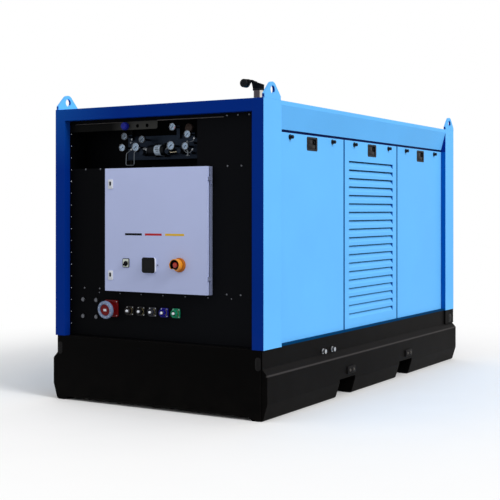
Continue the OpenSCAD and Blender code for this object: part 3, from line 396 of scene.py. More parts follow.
class Tree:
    """Builds a node tree. An input is named or numbered, and is given a value or another node's output."""

    def __init__(self, tree):
        self.tree = tree

    def add(self, kind, inputs=None, **settings):
        node = self.tree.nodes.new(kind)
        for key, value in settings.items():
            setattr(node, key, value)
        self.feed(node, inputs or {})
        return node

    def feed(self, node, inputs):
        for key, value in inputs.items():
            if isinstance(value, bpy.types.NodeSocket):
                self.tree.links.new(value, node.inputs[key])
            else:
                node.inputs[key].default_value = value

    def math(self, operation, *values, clamp=False):
        """Sums and tests, which have the short names given below the class."""
        return self.add("ShaderNodeMath", dict(enumerate(values)), operation=operation,
                        use_clamp=clamp).outputs[0]

    def mix(self, share, low, high, mode="MIX"):
        """A colour between two colours."""
        low, high = (v if isinstance(v, bpy.types.NodeSocket) else (*v[:3], 1) for v in (low, high))
        return self.add("ShaderNodeMix", {0: share, 6: low, 7: high}, data_type="RGBA",
                        blend_type=mode).outputs[2]

    def remap(self, value, low, high, to_low=0.0, to_high=1.0):
        inputs = {"Value": value, "From Min": low, "From Max": high, "To Min": to_low, "To Max": to_high}
        return self.add("ShaderNodeMapRange", inputs, clamp=True).outputs["Result"]

    def noise(self, where, scale, detail=3.0, roughness=0.5):
        inputs = {"Vector": where, "Scale": scale, "Detail": detail, "Roughness": roughness}
        return self.add("ShaderNodeTexNoise", inputs).outputs["Fac"]

    def object_place(self):
        return self.add("ShaderNodeTexCoord").outputs["Object"]

    def spot(self):
        """The X, Y and Z of the object's place."""
        return self.add("ShaderNodeSeparateXYZ", {0: self.object_place()}).outputs

    def way(self):
        """The X, Y and Z of the way that the surface faces."""
        normal = self.add("ShaderNodeTexCoord").outputs["Normal"]
        return self.add("ShaderNodeSeparateXYZ", {0: normal}).outputs

    def bump(self, strength, distance, height, **normal):
        inputs = {"Strength": strength, "Distance": distance, "Height": height, **normal}
        return self.add("ShaderNodeBump", inputs).outputs[0]

    def group(self, group, inputs):
        node = self.add("ShaderNodeGroup", node_tree=group)
        self.feed(node, inputs)
        return node.outputs


SUMS = {"times": "MULTIPLY", "over": "DIVIDE", "plus": "ADD", "minus": "SUBTRACT", "above": "GREATER_THAN",
        "below": "LESS_THAN", "most": "MAXIMUM", "size_of": "ABSOLUTE", "sign": "SIGN"}
for short_name, sum_name in SUMS.items():
    setattr(Tree, short_name, partialmethod(Tree.math, sum_name))


def node_group(name, kind, inputs, outputs):
    """An empty group of nodes, with its input sockets and a function that closes it with its outputs."""
    group = bpy.data.node_groups.new(name, kind)
    for label, socket, *default in inputs:
        made = group.interface.new_socket(label, in_out="INPUT", socket_type=f"NodeSocket{socket}")
        if default:
            made.default_value = default[0]
    for label, socket in outputs:
        group.interface.new_socket(label, in_out="OUTPUT", socket_type=f"NodeSocket{socket}")
    tree = Tree(group)
    given = tree.add("NodeGroupInput").outputs
    last = tree.add("NodeGroupOutput")
    return group, tree, given, lambda values: tree.feed(last, values)


def once(maker):
    """The group that maker makes, made only the first time that it is asked for."""
    def ask():
        return bpy.data.node_groups.get(maker.__name__) or maker(maker.__name__)
    return ask


# ---- Shader groups ----

@once
def coat_texture(name):
    """The peel of a sprayed coat, and its slow drift of tone."""
    group, tree, given, close = node_group(
        name, "ShaderNodeTree",
        [("Grain", "Float", 0.002), ("Drift", "Float", 0.8)],
        [("Height", "Float"), ("Tone", "Float")])
    where = tree.object_place()
    fine = tree.noise(where, tree.over(1.0, given["Grain"]), 2.0)
    broad = tree.noise(where, tree.over(1.0, given["Drift"]), 3.0, 0.55)
    close({"Height": fine, "Tone": broad})
    return group


@once
def settled_dust(name):
    """Dust that thins out upwards from the ground, and lies on what faces up."""
    group, tree, given, close = node_group(
        name, "ShaderNodeTree",
        [("Colour", "Color"), ("Roughness", "Float", 0.4), ("Dust", "Color"),
         ("Amount", "Float", 0.3), ("Top", "Float", 0.6)],
        [("Colour", "Color"), ("Roughness", "Float")])
    where = tree.object_place()
    low = tree.remap(tree.spot()["Z"], given["Top"], 0.0)
    flat = tree.remap(tree.way()["Z"], 0.75, 1.0)
    patches = tree.remap(tree.noise(where, 7.0, 5.0, 0.65), 0.38, 0.72)
    specks = tree.remap(tree.noise(where, 160.0, 3.0), 0.45, 0.7)
    cover = tree.times(tree.plus(low, tree.times(flat, 0.7)), given["Amount"])
    streaks = tree.plus(tree.times(patches, 0.7), tree.times(specks, 0.3))
    mask = tree.times(cover, streaks, clamp=True)
    rough = tree.plus(given["Roughness"], tree.times(mask, 0.4), clamp=True)
    close({"Colour": tree.mix(mask, given["Colour"], given["Dust"]), "Roughness": rough})
    return group


@once
def eased_edges(name):
    """Rounds the light on edges, and gives a mask of where they rub, which also places painted highlights."""
    group, tree, given, close = node_group(
        name, "ShaderNodeTree",
        [("Radius", "Float", 0.003)],
        [("Normal", "Vector"), ("Mask", "Float")])
    eased = tree.add("ShaderNodeBevel", {"Radius": given["Radius"]}, samples=4).outputs["Normal"]
    plain = tree.add("ShaderNodeNewGeometry").outputs["Normal"]
    same = tree.add("ShaderNodeVectorMath", {0: eased, 1: plain}, operation="DOT_PRODUCT").outputs["Value"]
    bent = tree.remap(same, 0.98, 0.8)
    chips = tree.remap(tree.noise(tree.object_place(), 45.0, 4.0, 0.7), 0.45, 0.68)
    close({"Normal": eased, "Mask": tree.times(bent, chips)})
    return group


@once
def brushed_grain(name):
    """Fine scratches along one way of the metal, which Stretch draws out."""
    group, tree, given, close = node_group(
        name, "ShaderNodeTree",
        [("Stretch", "Vector", (4.0, 300.0, 300.0))],
        [("Height", "Float"), ("Tone", "Float")])
    where = tree.object_place()
    drawn_out = tree.add("ShaderNodeMapping", {"Vector": where, "Scale": given["Stretch"]}).outputs[0]
    lines = tree.noise(drawn_out, 1.0, 2.0, 0.6)
    clouds = tree.noise(where, 18.0, 4.0, 0.6)
    close({"Height": lines, "Tone": tree.plus(tree.times(lines, 0.5), tree.times(clouds, 0.5))})
    return group


# ---- Finishes ----

TONE_SPAN = (0.3, 0.7)     # most of a noise's values lie between these


def dim(colour, share):
    """A colour with a share of its light, or lit up to white where the share is over 1."""
    return tuple(min(share * part, 1.0) for part in colour)


def principled(name, values):
    """A new material, with the tree that its pattern is built in and its shader."""
    material = bpy.data.materials.new(name)
    material.use_nodes = True
    tree = Tree(material.node_tree)
    shader = material.node_tree.nodes["Principled BSDF"]
    tree.feed(shader, values)
    return material, tree, shader


def coated(name, colour, roughness, grain=0.003, peel=0.06, dust=0.0, dust_top=0.6, specular=0.03, rub=None,
           edge=0.003):
    """A sprayed coat: peel, slow drift of tone, rounded and rubbed edges, and dust.

    Its colour may come from a pattern. Rub is how much lighter than the skid its edges wear, and their share;
    these rims are partly wear and partly painted highlight.
    """
    material, tree, shader = principled(name, {"Specular IOR Level": specular})
    base = colour(tree) if callable(colour) else colour
    texture = tree.group(coat_texture(), {"Grain": grain})
    edges = tree.group(eased_edges(), {"Radius": edge})
    shade = tree.remap(texture["Tone"], *TONE_SPAN, 0.965, 1.035)
    grey = tree.add("ShaderNodeCombineColor", {0: shade, 1: shade, 2: shade}).outputs[0]
    toned = tree.mix(1.0, base, grey, "MULTIPLY")
    # Wear and painted highlight: the edges are lightened.
    if rub:
        toned = tree.mix(tree.times(edges["Mask"], rub[1]), toned, dim(colours().skid, rub[0]))
    gloss = tree.remap(texture["Tone"], *TONE_SPAN, roughness - 0.04, roughness + 0.05)
    dusty = tree.group(settled_dust(), {"Colour": toned, "Roughness": gloss, "Dust": (*colours().dust, 1),
                                        "Amount": dust, "Top": dust_top})
    bump = tree.bump(peel, grain * 0.4, texture["Height"], Normal=edges["Normal"])
    tree.feed(shader, {"Base Color": dusty["Colour"], "Roughness": dusty["Roughness"], "Normal": bump})
    return material


def moulded(name, colour, roughness=0.42, specular=0.5):
    """Moulded plastic: spark-eroded grain, slow drift of gloss and rounded edges."""
    grain = 0.0009
    material, tree, shader = principled(name, {"Specular IOR Level": specular})
    texture = tree.group(coat_texture(), {"Grain": grain, "Drift": 0.05})
    edges = tree.group(eased_edges(), {"Radius": 0.0012})
    tree.feed(shader, {
        "Base Color": tree.mix(tree.remap(texture["Tone"], *TONE_SPAN), dim(colour, 0.9), colour),
        "Roughness": tree.remap(texture["Tone"], *TONE_SPAN, roughness - 0.06, roughness + 0.06),
        "Normal": tree.bump(0.12, grain * 0.4, texture["Height"], Normal=edges["Normal"])})
    return material


def metal(name, colour, roughness, stretch=(300.0, 4.0, 300.0), scratch=0.05, metallic=1.0):
    """Bare or plated metal: fine scratches and a slow drift of gloss. Less metallic is a dull, lit film."""
    material, tree, shader = principled(name, {"Metallic": metallic})
    grain = tree.group(brushed_grain(), {"Stretch": stretch})
    edges = tree.group(eased_edges(), {"Radius": 0.001})
    tree.feed(shader, {
        "Base Color": tree.mix(tree.remap(grain["Tone"], *TONE_SPAN), dim(colour, 0.8), colour),
        "Roughness": tree.remap(grain["Tone"], *TONE_SPAN, roughness - 0.05, roughness + 0.08),
        "Normal": tree.bump(scratch, 0.0005, grain["Height"], Normal=edges["Normal"])})
    return material


def two_tone(tree):
    """Painted sun and shade on one blue coat: light blue where the sun falls on the long sides and the roof,
    dark blue in the shade of the end frames, and painted shade along the joints and on the reveals between
    them.
    """
    flanks_from, posts_from = 0.9, 0.95        # how far out the flanks and the corner posts start
    end_way, roof_way = 0.6, 0.5               # how squarely an end face and a roof face look out
    roof_drop, joint_half, joint_gap = 0.12, 0.012, 0.004
    where, way = tree.spot(), tree.way()
    out = tree.size_of(where["X"])
    panels, roof_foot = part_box("panel_right_front"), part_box("post_front_right")[1].z
    outward = tree.above(tree.times(way["X"], tree.sign(where["X"])), 0.5)
    outer = tree.above(out, panels[0].x - 0.008)
    end = tree.times(tree.above(tree.size_of(way["Y"]), end_way), tree.above(out, posts_from))
    top = tree.times(tree.above(where["Z"], roof_foot - 0.001), tree.minus(1.0, end))
    roof = tree.times(tree.above(way["Z"], roof_way), tree.above(where["Z"], roof_foot - roof_drop))
    # Painted sunlight on the outward long sides and the roof; everything else takes the painted shade.
    side = tree.most(tree.most(tree.times(outward, outer), top), roof)
    flank = tree.times(tree.above(out, flanks_from), tree.below(where["Z"], panels[1].z))
    # Painted shade: a band of the joints' blue along each panel joint.
    joint_shade_bands = 0.0
    for name in ("panel_right_louvred", "panel_right_rear"):
        off = tree.size_of(tree.minus(where["Y"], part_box(name)[0].y - joint_gap))
        joint_shade_bands = tree.most(joint_shade_bands, tree.times(tree.below(off, joint_half), flank))
    inward = tree.below(tree.times(way["Y"], tree.sign(where["Y"])), -end_way)
    # Painted shade on the reveals that face the middle, lifted by bounce light.
    dark = tree.mix(tree.times(inward, flank), colours().canopy_dark, colours().reveal)
    # Painted light: the beam's front is lighter towards its left end.
    lit = tree.times(tree.remap(where["X"], -0.35, -1.0), tree.remap(where["Z"], 1.9, 2.4))
    dark = tree.mix(lit, dark, srgb(14, 78, 168))      # the beam is lighter towards its left end
    return tree.mix(joint_shade_bands, tree.mix(side, dark, colours().canopy_light), colours().joint)


def skid_tones(tree):
    """The skid's coat with painted light: shade on the faces that look to the ends, a sheen on the slope above
    the bend, and a highlight along the bend itself.
    """
    where, way, tone = tree.spot(), tree.way(), colours().skid
    outward = tree.times(way["X"], tree.sign(where["X"]))
    # Painted sheen on the slope above the bend.
    slope = tree.times(tree.above(way["Z"], 0.4), tree.above(outward, 0.4))
    # Painted highlight: a bright line along the bend.
    bend = tree.times(tree.remap(where["Z"], 0.331, 0.335), tree.remap(where["Z"], 0.348, 0.344))
    bend = tree.times(bend, tree.above(tree.size_of(where["X"]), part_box("skid_right")[1].x - 0.012))
    # Painted shade: the faces that look to the front and rear are darker.
    plain = tree.mix(tree.above(tree.size_of(way["Y"]), 0.9), tone, dim(tone, 0.4))
    return tree.mix(bend, tree.mix(slope, plain, dim(tone, 1.5)), dim(tone, 9))


def quilt(tree):
    """The lining's dark cloth, quilted on a small pitch."""
    pitch = 0.09
    wave = tree.math("SINE", tree.times(tree.spot()["Z"], TURN / pitch))
    return tree.mix(tree.remap(wave, 0.8, 1.0), srgb(0, 36, 82), srgb(0, 22, 52))


def front_shade(tree):
    """The front panels' coat, with painted shade that darkens it towards the left, away from the key light."""
    share = tree.remap(tree.spot()["X"], -0.95, 0.95)
    return tree.mix(share, dim(colours().front_panels, 0.5), dim(colours().front_panels, 1.5))


def door_shade(tree):
    """The door's coat with painted light: lighter towards its top, and painted shade on the hinges beside it.
    """
    where, paint = tree.spot(), colours().cabinet
    low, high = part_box("cabinet_door")
    shaded_hinges = tree.above(where["X"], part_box("mounting_plate")[1].x + 0.042)
    door = tree.mix(tree.remap(where["Z"], low.z, high.z), dim(paint, 0.98), dim(paint, 1.16))
    return tree.mix(shaded_hinges, door, dim(paint, 0.42))


def grime(tree):
    """The bracket's paint, with painted shade that darkens it towards its inner end."""
    share = tree.remap(tree.spot()["X"], -0.47, -0.3)
    return tree.mix(share, dim(colours().grey_sheet, 0.08), colours().grey_sheet)


def exhaust_steel(name):
    """Stainless pipe with a painted reflection: bright on the side that faces right and to the rear, dark on
    the other side.
    """
    material, tree, shader = principled(name, {"Metallic": 1.0})
    grain = tree.group(brushed_grain(), {"Stretch": (240.0, 240.0, 5.0)})
    way = tree.way()
    right_rear_facing = tree.plus(tree.times(way["X"], 0.858), tree.times(way["Y"], 0.513))
    painted_reflection = tree.remap(tree.plus(right_rear_facing, tree.times(grain["Tone"], 0.2)), 0.25, 0.55)
    tree.feed(shader, {
        "Base Color": tree.mix(painted_reflection, srgb(74, 68, 72), srgb(222, 214, 202)),
        "Roughness": tree.remap(grain["Tone"], *TONE_SPAN, 0.2, 0.34),
        "Normal": tree.bump(0.05, 0.0005, grain["Height"])})
    return material


def clear_window(name):
    """Clear plastic over a dial: see-through, with only its gloss showing."""
    material, tree, shader = principled(name, {"Base Color": (1, 1, 1, 1), "Transmission Weight": 1.0,
                                               "IOR": 1.08})
    wipe = tree.noise(tree.object_place(), 60.0, 3.0)
    tree.feed(shader, {"Roughness": tree.remap(wipe, *TONE_SPAN, 0.02, 0.07)})
    return material


def printed(name, colour, roughness=0.5, specular=0.3):
    """Ink or film: a faint unevenness of colour and gloss."""
    material, tree, shader = principled(name, {"Specular IOR Level": specular})
    specks = tree.noise(tree.object_place(), 300.0, 3.0)
    tree.feed(shader, {"Base Color": tree.mix(tree.remap(specks, 0.35, 0.65), dim(colour, 0.88), colour),
                       "Roughness": tree.remap(specks, *TONE_SPAN, roughness - 0.05, roughness + 0.05)})
    return material


def of(maker, colour, *values, share=1.0, **settings):
    """A finish's recipe. Its colour is three display values, a named colour, a share of one, or a pattern."""
    def make(name):
        paint = getattr(colours(), colour) if isinstance(colour, str) else colour
        if isinstance(colour, tuple):
            paint = srgb(*colour)
        return maker(name, paint if callable(paint) else dim(paint, share), *values, **settings)
    return make


SATIN = {"stretch": (60.0, 60.0, 60.0)}
PLATED = {"stretch": (90.0, 90.0, 90.0)}
POLISHED = {**SATIN, "scratch": 0.02}

# the single-pole connectors, one colour for each conductor, from the left
CONDUCTORS = {"brown": (16, 11, 11), "black": (7, 7, 9), "grey": (40, 42, 52), "blue": (14, 9, 132),
              "green": (16, 138, 100)}

# A coat, plastic or print has a colour, roughness and specular level, and a metal its colour and roughness.
FINISHES = {
    "canopy_coat": of(coated, two_tone, 0.4, dust=0.04, dust_top=0.9),
    # The skid's edges are lightened as wear and as painted highlights.
    "skid_coat": of(coated, skid_tones, 0.48, grain=0.0035, peel=0.25, dust=0.012, dust_top=0.4,
                    specular=0.02, rub=(5, 0.5), edge=0.006),
    # Painted shade: the sills' coat is dark for the shade under the panels.
    "sill_coat": of(coated, "sill", 0.5, specular=0.005),
    # Painted shade: the joints' blue, also given to the mullions behind the gaps.
    "joint_coat": of(coated, "joint", 0.4, specular=0.06),
    "lining": of(coated, quilt, 0.8, grain=0.004, peel=0.4),
    "front_coat": of(coated, front_shade, 0.6, grain=0.002, peel=0.2),
    "cabinet_coat": of(coated, door_shade, 0.5, grain=0.0016, peel=0.3, specular=0.3, edge=0.004),
    # Painted shade: the cabinet body and the door's folds take the cabinet colour dimmed, as in the post's
    # shade.
    "cabinet_frame_coat": of(coated, "cabinet", 0.5, share=0.42, grain=0.0016, peel=0.3, specular=0.3),
    "grey_sheet_paint": of(coated, grime, 0.45, grain=0.002, peel=0.1),
    "rail_coat": of(coated, (78, 74, 72), 0.5, grain=0.002, peel=0.1, specular=0.2),
    "pad_steel": of(coated, (20, 19, 20), 0.5, grain=0.0015, peel=0.2, specular=0.05),
    "duct_grey": of(moulded, (112, 116, 122), 0.5),
    "black_moulding": of(moulded, "black_moulding", specular=0.1),
    "grey_moulding": of(moulded, "grey_moulding"),
    "white_moulding": of(moulded, "white_moulding", 0.35),
    "ring_moulding": of(moulded, "ring_grey"),
    "red_moulding": of(moulded, "socket_red", 0.4, 0.15),
    "blue_moulding": of(moulded, "cap_blue", 0.4, 0.12),
    "brown_moulding": of(moulded, (62, 50, 46), 0.5, 0.15),
    "seal_rubber": of(moulded, (9, 9, 10), 0.7, 0.05),
    "gas_black": of(moulded, (12, 15, 20), 0.35, 0.08),
    "yellow_moulding": of(moulded, "safety_yellow", 0.3),
    # Painted shade: a darker copy of the safety yellow, for the stop's base disc.
    "amber_moulding": of(moulded, (176, 100, 20), 0.35, 0.2),
    "mushroom_moulding": of(moulded, "mushroom_red", 0.3),
    "latch_frame": of(moulded, (22, 24, 30), 0.4, 0.12),
    "latch_paddle": of(moulded, (15, 15, 18), 0.4, 0.12),
    "latch_well": of(moulded, (7, 8, 11), 0.5, 0.1),
    "cover_moulding": of(moulded, (21, 20, 21), 0.5, 0.1),
    "bolt_steel": of(moulded, (78, 74, 70), 0.4, 0.12),
    "dial_print": of(printed, "dial_white"),
    # Painted shade: a dimmer copy of the dial print, for the dials under the bracket.
    "dim_dial_print": of(printed, "dial_white", share=0.4),
    "label_print": of(printed, (186, 204, 222)),
    "black_print": of(printed, (9, 10, 16), specular=0.1),
    "red_print": of(printed, (190, 28, 40)),
    "yellow_print": of(printed, (236, 190, 48)),
    "display_glass": of(printed, (9, 10, 13), 0.12, 0.12),
    "brushed_steel": of(metal, (186, 188, 192), 0.34),
    "brushed_label": of(metal, (196, 204, 196), 0.4),
    "dull_steel": of(metal, (32, 39, 50), 0.42),
    "tube_steel": of(metal, (108, 114, 120), 0.32, **SATIN),
    "lit_chrome": of(metal, (206, 212, 218), 0.2, **SATIN, metallic=0.4),
    "warm_steel": of(metal, (206, 196, 168), 0.3, **SATIN, metallic=0.5),
    "case_steel": of(metal, (138, 144, 152), 0.24, **POLISHED),
    "turned_steel": of(metal, (214, 216, 220), 0.16, **POLISHED),
    "zinc_plate": of(metal, (190, 192, 196), 0.3, **PLATED),
    "dark_zinc": of(metal, (104, 106, 112), 0.42, **PLATED),
    "brass_chrome": of(metal, (176, 164, 122), 0.34, **PLATED),
    "exhaust_steel": exhaust_steel,
    "clear_window": clear_window,
    **{f"{name}_shell": of(moulded, tint, 0.36, 0.2) for name, tint in CONDUCTORS.items()},
}


def finish(name):
    """A finish by name, made the first time that it is asked for."""
    return bpy.data.materials.get(name) or FINISHES[name](name)


# ---- Geometry trees ----

def carried(tree, name, kind):
    """What each vertex carries under a name."""
    return tree.add("GeometryNodeInputNamedAttribute", {"Name": name}, data_type=kind).outputs["Attribute"]


def outward_turn(tree):
    """The turn that lays a form's height along the way that its vertex gives."""
    facing = carried(tree, "facing", "FLOAT_VECTOR")
    return tree.add("FunctionNodeAlignRotationToVector", {"Vector": facing}, axis="Z").outputs[0]


def stood(tree, places, form, turn, size):
    """A copy of a form on each of the places."""
    inputs = {"Points": places, "Instance": form, "Rotation": turn, "Scale": size}
    return tree.add("GeometryNodeInstanceOnPoints", inputs).outputs[0]


def spin(tree, angle):
    """A turn about the upright."""
    return tree.add("FunctionNodeAxisAngleToRotation", {"Axis": (0, 0, 1), "Angle": angle}).outputs[0]


def made_real(tree, forms, material):
    """Plain geometry with its finish."""
    real = tree.add("GeometryNodeRealizeInstances", {"Geometry": forms}).outputs[0]
    return tree.add("GeometryNodeSetMaterial", {"Geometry": real, "Material": material}).outputs[0]


@once
def place_forms(name):
    """Stands a copy of a form on each vertex, facing the way that the vertex gives."""
    group, tree, given, close = node_group(
        name, "GeometryNodeTree",
        [("Places", "Geometry"), ("Form", "Object"), ("Roll", "Float", TURN),
         ("Seed", "Int", 1), ("Finish", "Material")],
        [("Forms", "Geometry")])
    chance = tree.add("FunctionNodeRandomValue", {2: 0.0, 3: given["Roll"], "Seed": given["Seed"]},
                      data_type="FLOAT")
    turned = tree.add("FunctionNodeRotateRotation",
                      {"Rotation": outward_turn(tree), "Rotate By": spin(tree, chance.outputs[1])},
                      rotation_space="LOCAL")
    form = tree.add("GeometryNodeObjectInfo", {"Object": given["Form"]}).outputs["Geometry"]
    forms = stood(tree, given["Places"], form, turned.outputs[0], carried(tree, "size", "FLOAT"))
    close({"Forms": made_real(tree, forms, given["Finish"])})
    return group


@once
def sweep_tube(name):
    """A round tube along a line of edges, with its corners bent to a radius."""
    group, tree, given, close = node_group(
        name, "GeometryNodeTree",
        [("Line", "Geometry"), ("Radius", "Float", 0.005), ("Bend", "Float", 0.02),
         ("Sides", "Int", 10), ("Finish", "Material")],
        [("Tube", "Geometry")])
    line = tree.add("GeometryNodeMeshToCurve", {"Mesh": given["Line"]}).outputs[0]
    bent = tree.add("GeometryNodeFilletCurve", {"Curve": line, "Radius": given["Bend"], "Count": 6},
                    mode="POLY")
    section = tree.add("GeometryNodeCurvePrimitiveCircle",
                       {"Resolution": given["Sides"], "Radius": given["Radius"]}, mode="RADIUS")
    tube = tree.add("GeometryNodeCurveToMesh", {"Curve": bent.outputs[0], "Profile Curve": section.outputs[0],
                                                "Fill Caps": True})
    close({"Tube": made_real(tree, tube.outputs[0], given["Finish"])})
    return group


@once
def dial_marks(name):
    """Scale marks round each dial: a short bar every step, and a longer one every fifth."""
    group, tree, given, close = node_group(
        name, "GeometryNodeTree",
        [("Dials", "Geometry"), ("Count", "Int", 31), ("Sweep", "Float", 4.7),
         ("Radius", "Float", 0.8), ("Finish", "Material")],
        [("Marks", "Geometry")])
    index = tree.add("GeometryNodeInputIndex").outputs[0]
    share = tree.over(index, tree.minus(given["Count"], 1.0))
    angle = tree.times(tree.minus(share, 0.5), given["Sweep"])
    fifth = tree.math("COMPARE", tree.math("MODULO", index, 5.0), 0.0, 0.1)
    stretch = tree.add("ShaderNodeCombineXYZ", {0: tree.plus(1.0, tree.times(fifth, 0.6)),
                                                1: tree.plus(1.0, fifth), 2: 1.0}).outputs[0]
    spots = tree.add("GeometryNodeMeshLine", {"Count": given["Count"], "Offset": (0, 0, 0)},
                     mode="OFFSET").outputs[0]
    bar = tree.add("GeometryNodeMeshCube", {"Size": (0.014, 0.06, 0.004)}).outputs[0]
    reach = tree.add("ShaderNodeCombineXYZ", {1: given["Radius"]}).outputs[0]
    out = tree.add("GeometryNodeTransform", {"Geometry": bar, "Translation": reach}).outputs[0]
    ring = stood(tree, spots, out, spin(tree, angle), stretch)
    marks = stood(tree, given["Dials"], ring, outward_turn(tree), carried(tree, "size", "FLOAT"))
    close({"Marks": made_real(tree, marks, given["Finish"])})
    return group


def grown(name, seed, tree, values, finish_name):
    """Runs a geometry tree on a seed mesh, and gives what grows as a plain mesh."""
    source = bpy.data.objects.new(name, seed)
    modifier = source.modifiers.new(name, "NODES")
    modifier.node_group = tree
    values["Finish"] = finish(finish_name)
    for item in tree.interface.items_tree:
        if item.in_out == "INPUT" and item.name in values:
            modifier[item.identifier] = values[item.name]
    bpy.context.scene.collection.objects.link(source)
    mesh = evaluated(source)
    if not mesh.polygons:
        raise RuntimeError(f"{name} came out empty")
    return mesh


def evaluated(source):
    """An object's finished mesh. The object itself is removed."""
    graph = bpy.context.evaluated_depsgraph_get()
    mesh = bpy.data.meshes.new_from_object(source.evaluated_get(graph))
    bpy.data.objects.remove(source)
    return mesh


def spot_mesh(spots):
    """A mesh of single vertices from (place, facing, size) spots, for the geometry trees."""
    mesh = bpy.data.meshes.new("spots")
    mesh.from_pydata([tuple(spot[0]) for spot in spots], [], [])
    facing = mesh.attributes.new("facing", "FLOAT_VECTOR", "POINT")
    facing.data.foreach_set("vector", [part for spot in spots for part in spot[1]])
    size = mesh.attributes.new("size", "FLOAT", "POINT")
    size.data.foreach_set("value", [spot[2] if len(spot) > 2 else 1.0 for spot in spots])
    return mesh


def stand(name, form, spots, finish_name, roll=TURN):
    """Stands a form, which faces +Z at the origin, on every spot."""
    pattern = bpy.data.objects.new("form", form.data("form"))
    bpy.context.scene.collection.objects.link(pattern)
    values = {"Form": pattern, "Roll": roll, "Seed": 1}
    mesh = grown(name, spot_mesh(spots), place_forms(), values, finish_name)
    bpy.data.objects.remove(pattern)
    return dressed(name, mesh, "housing")


def pipe(name, lines, radius, bend, finish_name):
    """Tubes along lines of points."""
    mesh = bpy.data.meshes.new("lines")
    edges, start = [], 0
    for line in lines:
        edges += [(start + i, start + i + 1) for i in range(len(line) - 1)]
        start += len(line)
    mesh.from_pydata([tuple(p) for line in lines for p in line], edges, [])
    tube = grown(name, mesh, sweep_tube(), {"Radius": radius, "Bend": bend, "Sides": 10}, finish_name)
    return dressed(name, tube, "housing", 50)


def row(start, end, count):
    """Evenly spaced places from start to end."""
    start, end = Vector(start), Vector(end)
    return [start.lerp(end, i / max(count - 1, 1)) for i in range(count)]


def facing_all(places, facing):
    """Spots at the places, all facing one way."""
    return [(spot, facing) for spot in places]


def screws(name, head, spots, finish_name="zinc_plate"):
    """Domed screws with a thin washer, one on each spot."""
    form, radius = Shape(), head / 2
    form.turned([(radius * 1.25, 0), (radius * 1.25, head * 0.05), (radius * 0.98, head * 0.07),
                 (radius, head * 0.16), (radius * 0.8, head * 0.3), (radius * 0.42, head * 0.36),
                 (0, head * 0.37)], ORIGIN, 12, flat_foot=True)
    stand(name, form, spots, finish_name)


# ---- Operators ----

class GeneratorOperator:
    """What every step of the dressing shares."""
    bl_options = {"REGISTER", "UNDO"}


def sight_of_backdrop(tree):
    """1 for what the camera, gloss and clear windows see, and 0 for what lights the object."""
    sight = tree.add("ShaderNodeLightPath").outputs
    mirrored = tree.most(sight["Is Glossy Ray"], sight["Is Transmission Ray"])
    return tree.most(sight["Is Camera Ray"], mirrored)


class GENERATOR_OT_stage(GeneratorOperator, bpy.types.Operator):
    """Sets the camera, the lamps, the world and the floor"""
    bl_idname = "generator.stage"
    bl_label = "Stage"

    key_way = Vector((-0.8, 0.1, -0.58)).normalized()
    key_softness = math.radians(24)
    pale_reach, white_reach = 2.2, 5.5         # the floor goes from pale to white between these

    def execute(self, context):
        values = context.scene.generator_stage
        camera = bpy.data.objects.new("camera", bpy.data.cameras.new("camera"))
        camera.data.lens = values.lens
        camera.data.shift_y = values.lens_shift
        camera.location = values.camera_place
        camera.rotation_euler = (math.radians(90), 0, values.camera_turn)
        context.scene.collection.objects.link(camera)
        context.scene.camera = camera
        context.scene.view_settings.view_transform = "Standard"
        self.light_world(context, values)
        self.hang_key(context, values)
        self.lay_floor(values)
        return {"FINISHED"}

    def light_world(self, context, values):
        world = bpy.data.worlds.new("studio")
        context.scene.world = world
        world.use_nodes = True
        tree = Tree(world.node_tree)
        strength = tree.remap(sight_of_backdrop(tree), 0.0, 1.0, values.ambient, 1.0)
        back = world.node_tree.nodes["Background"]
        tree.feed(back, {"Color": (1, 1, 1, 1), "Strength": strength})

    def hang_key(self, context, values):
        key = bpy.data.objects.new("key", bpy.data.lights.new("key", "SUN"))
        key.data.angle = self.key_softness
        key.data.energy = values.key_level * math.pi
        key.rotation_euler = self.key_way.to_track_quat("-Z", "Y").to_euler()
        context.scene.collection.objects.link(key)

    def lay_floor(self, values):
        span = values.floor_span
        form = Shape()
        for radii in ((0, 3), (3, 8), (8, span)):
            form.bridge(*(form.ring(disc(r, 64) if r else [(0, 0)], ORIGIN, 0) for r in radii))
        bmesh.ops.remove_doubles(form.mesh, verts=form.mesh.verts, dist=1e-5)
        data = bpy.data.meshes.new("floor")
        for face in form.mesh.faces:
            if face.normal.z < 0:
                face.normal_flip()
        form.mesh.to_mesh(data)
        form.mesh.free()
        data.materials.append(self.floor_finish(values))
        floor = bpy.data.objects.new("floor", data)
        bpy.context.scene.collection.objects.link(floor)

    def floor_finish(self, values):
        """Pale and dull by the object, where it takes the shadow, and white further off."""
        material, tree, shader = principled("pale_floor", {"Specular IOR Level": 0.1})
        where = tree.object_place()
        blotch = tree.noise(where, 2.0, 3.0)
        seen = sight_of_backdrop(tree)
        pale = tree.mix(blotch, (0.92, 0.92, 0.92), (0.95, 0.95, 0.95))
        tree.feed(shader, {"Base Color": tree.mix(seen, (values.floor_bounce,) * 3, pale),
                           "Roughness": tree.remap(blotch, 0, 1, 0.75, 0.85)})
        reach = tree.add("ShaderNodeVectorMath", {0: where}, operation="LENGTH").outputs["Value"]
        far = tree.remap(reach, self.pale_reach, self.white_reach)
        white = tree.add("ShaderNodeEmission", {"Color": (1, 1, 1, 1), "Strength": 1.0})
        both = tree.add("ShaderNodeMixShader", {0: tree.times(seen, far), 1: shader.outputs[0],
                                                2: white.outputs[0]})
        tree.feed(material.node_tree.nodes["Material Output"], {"Surface": both.outputs[0]})
        return material


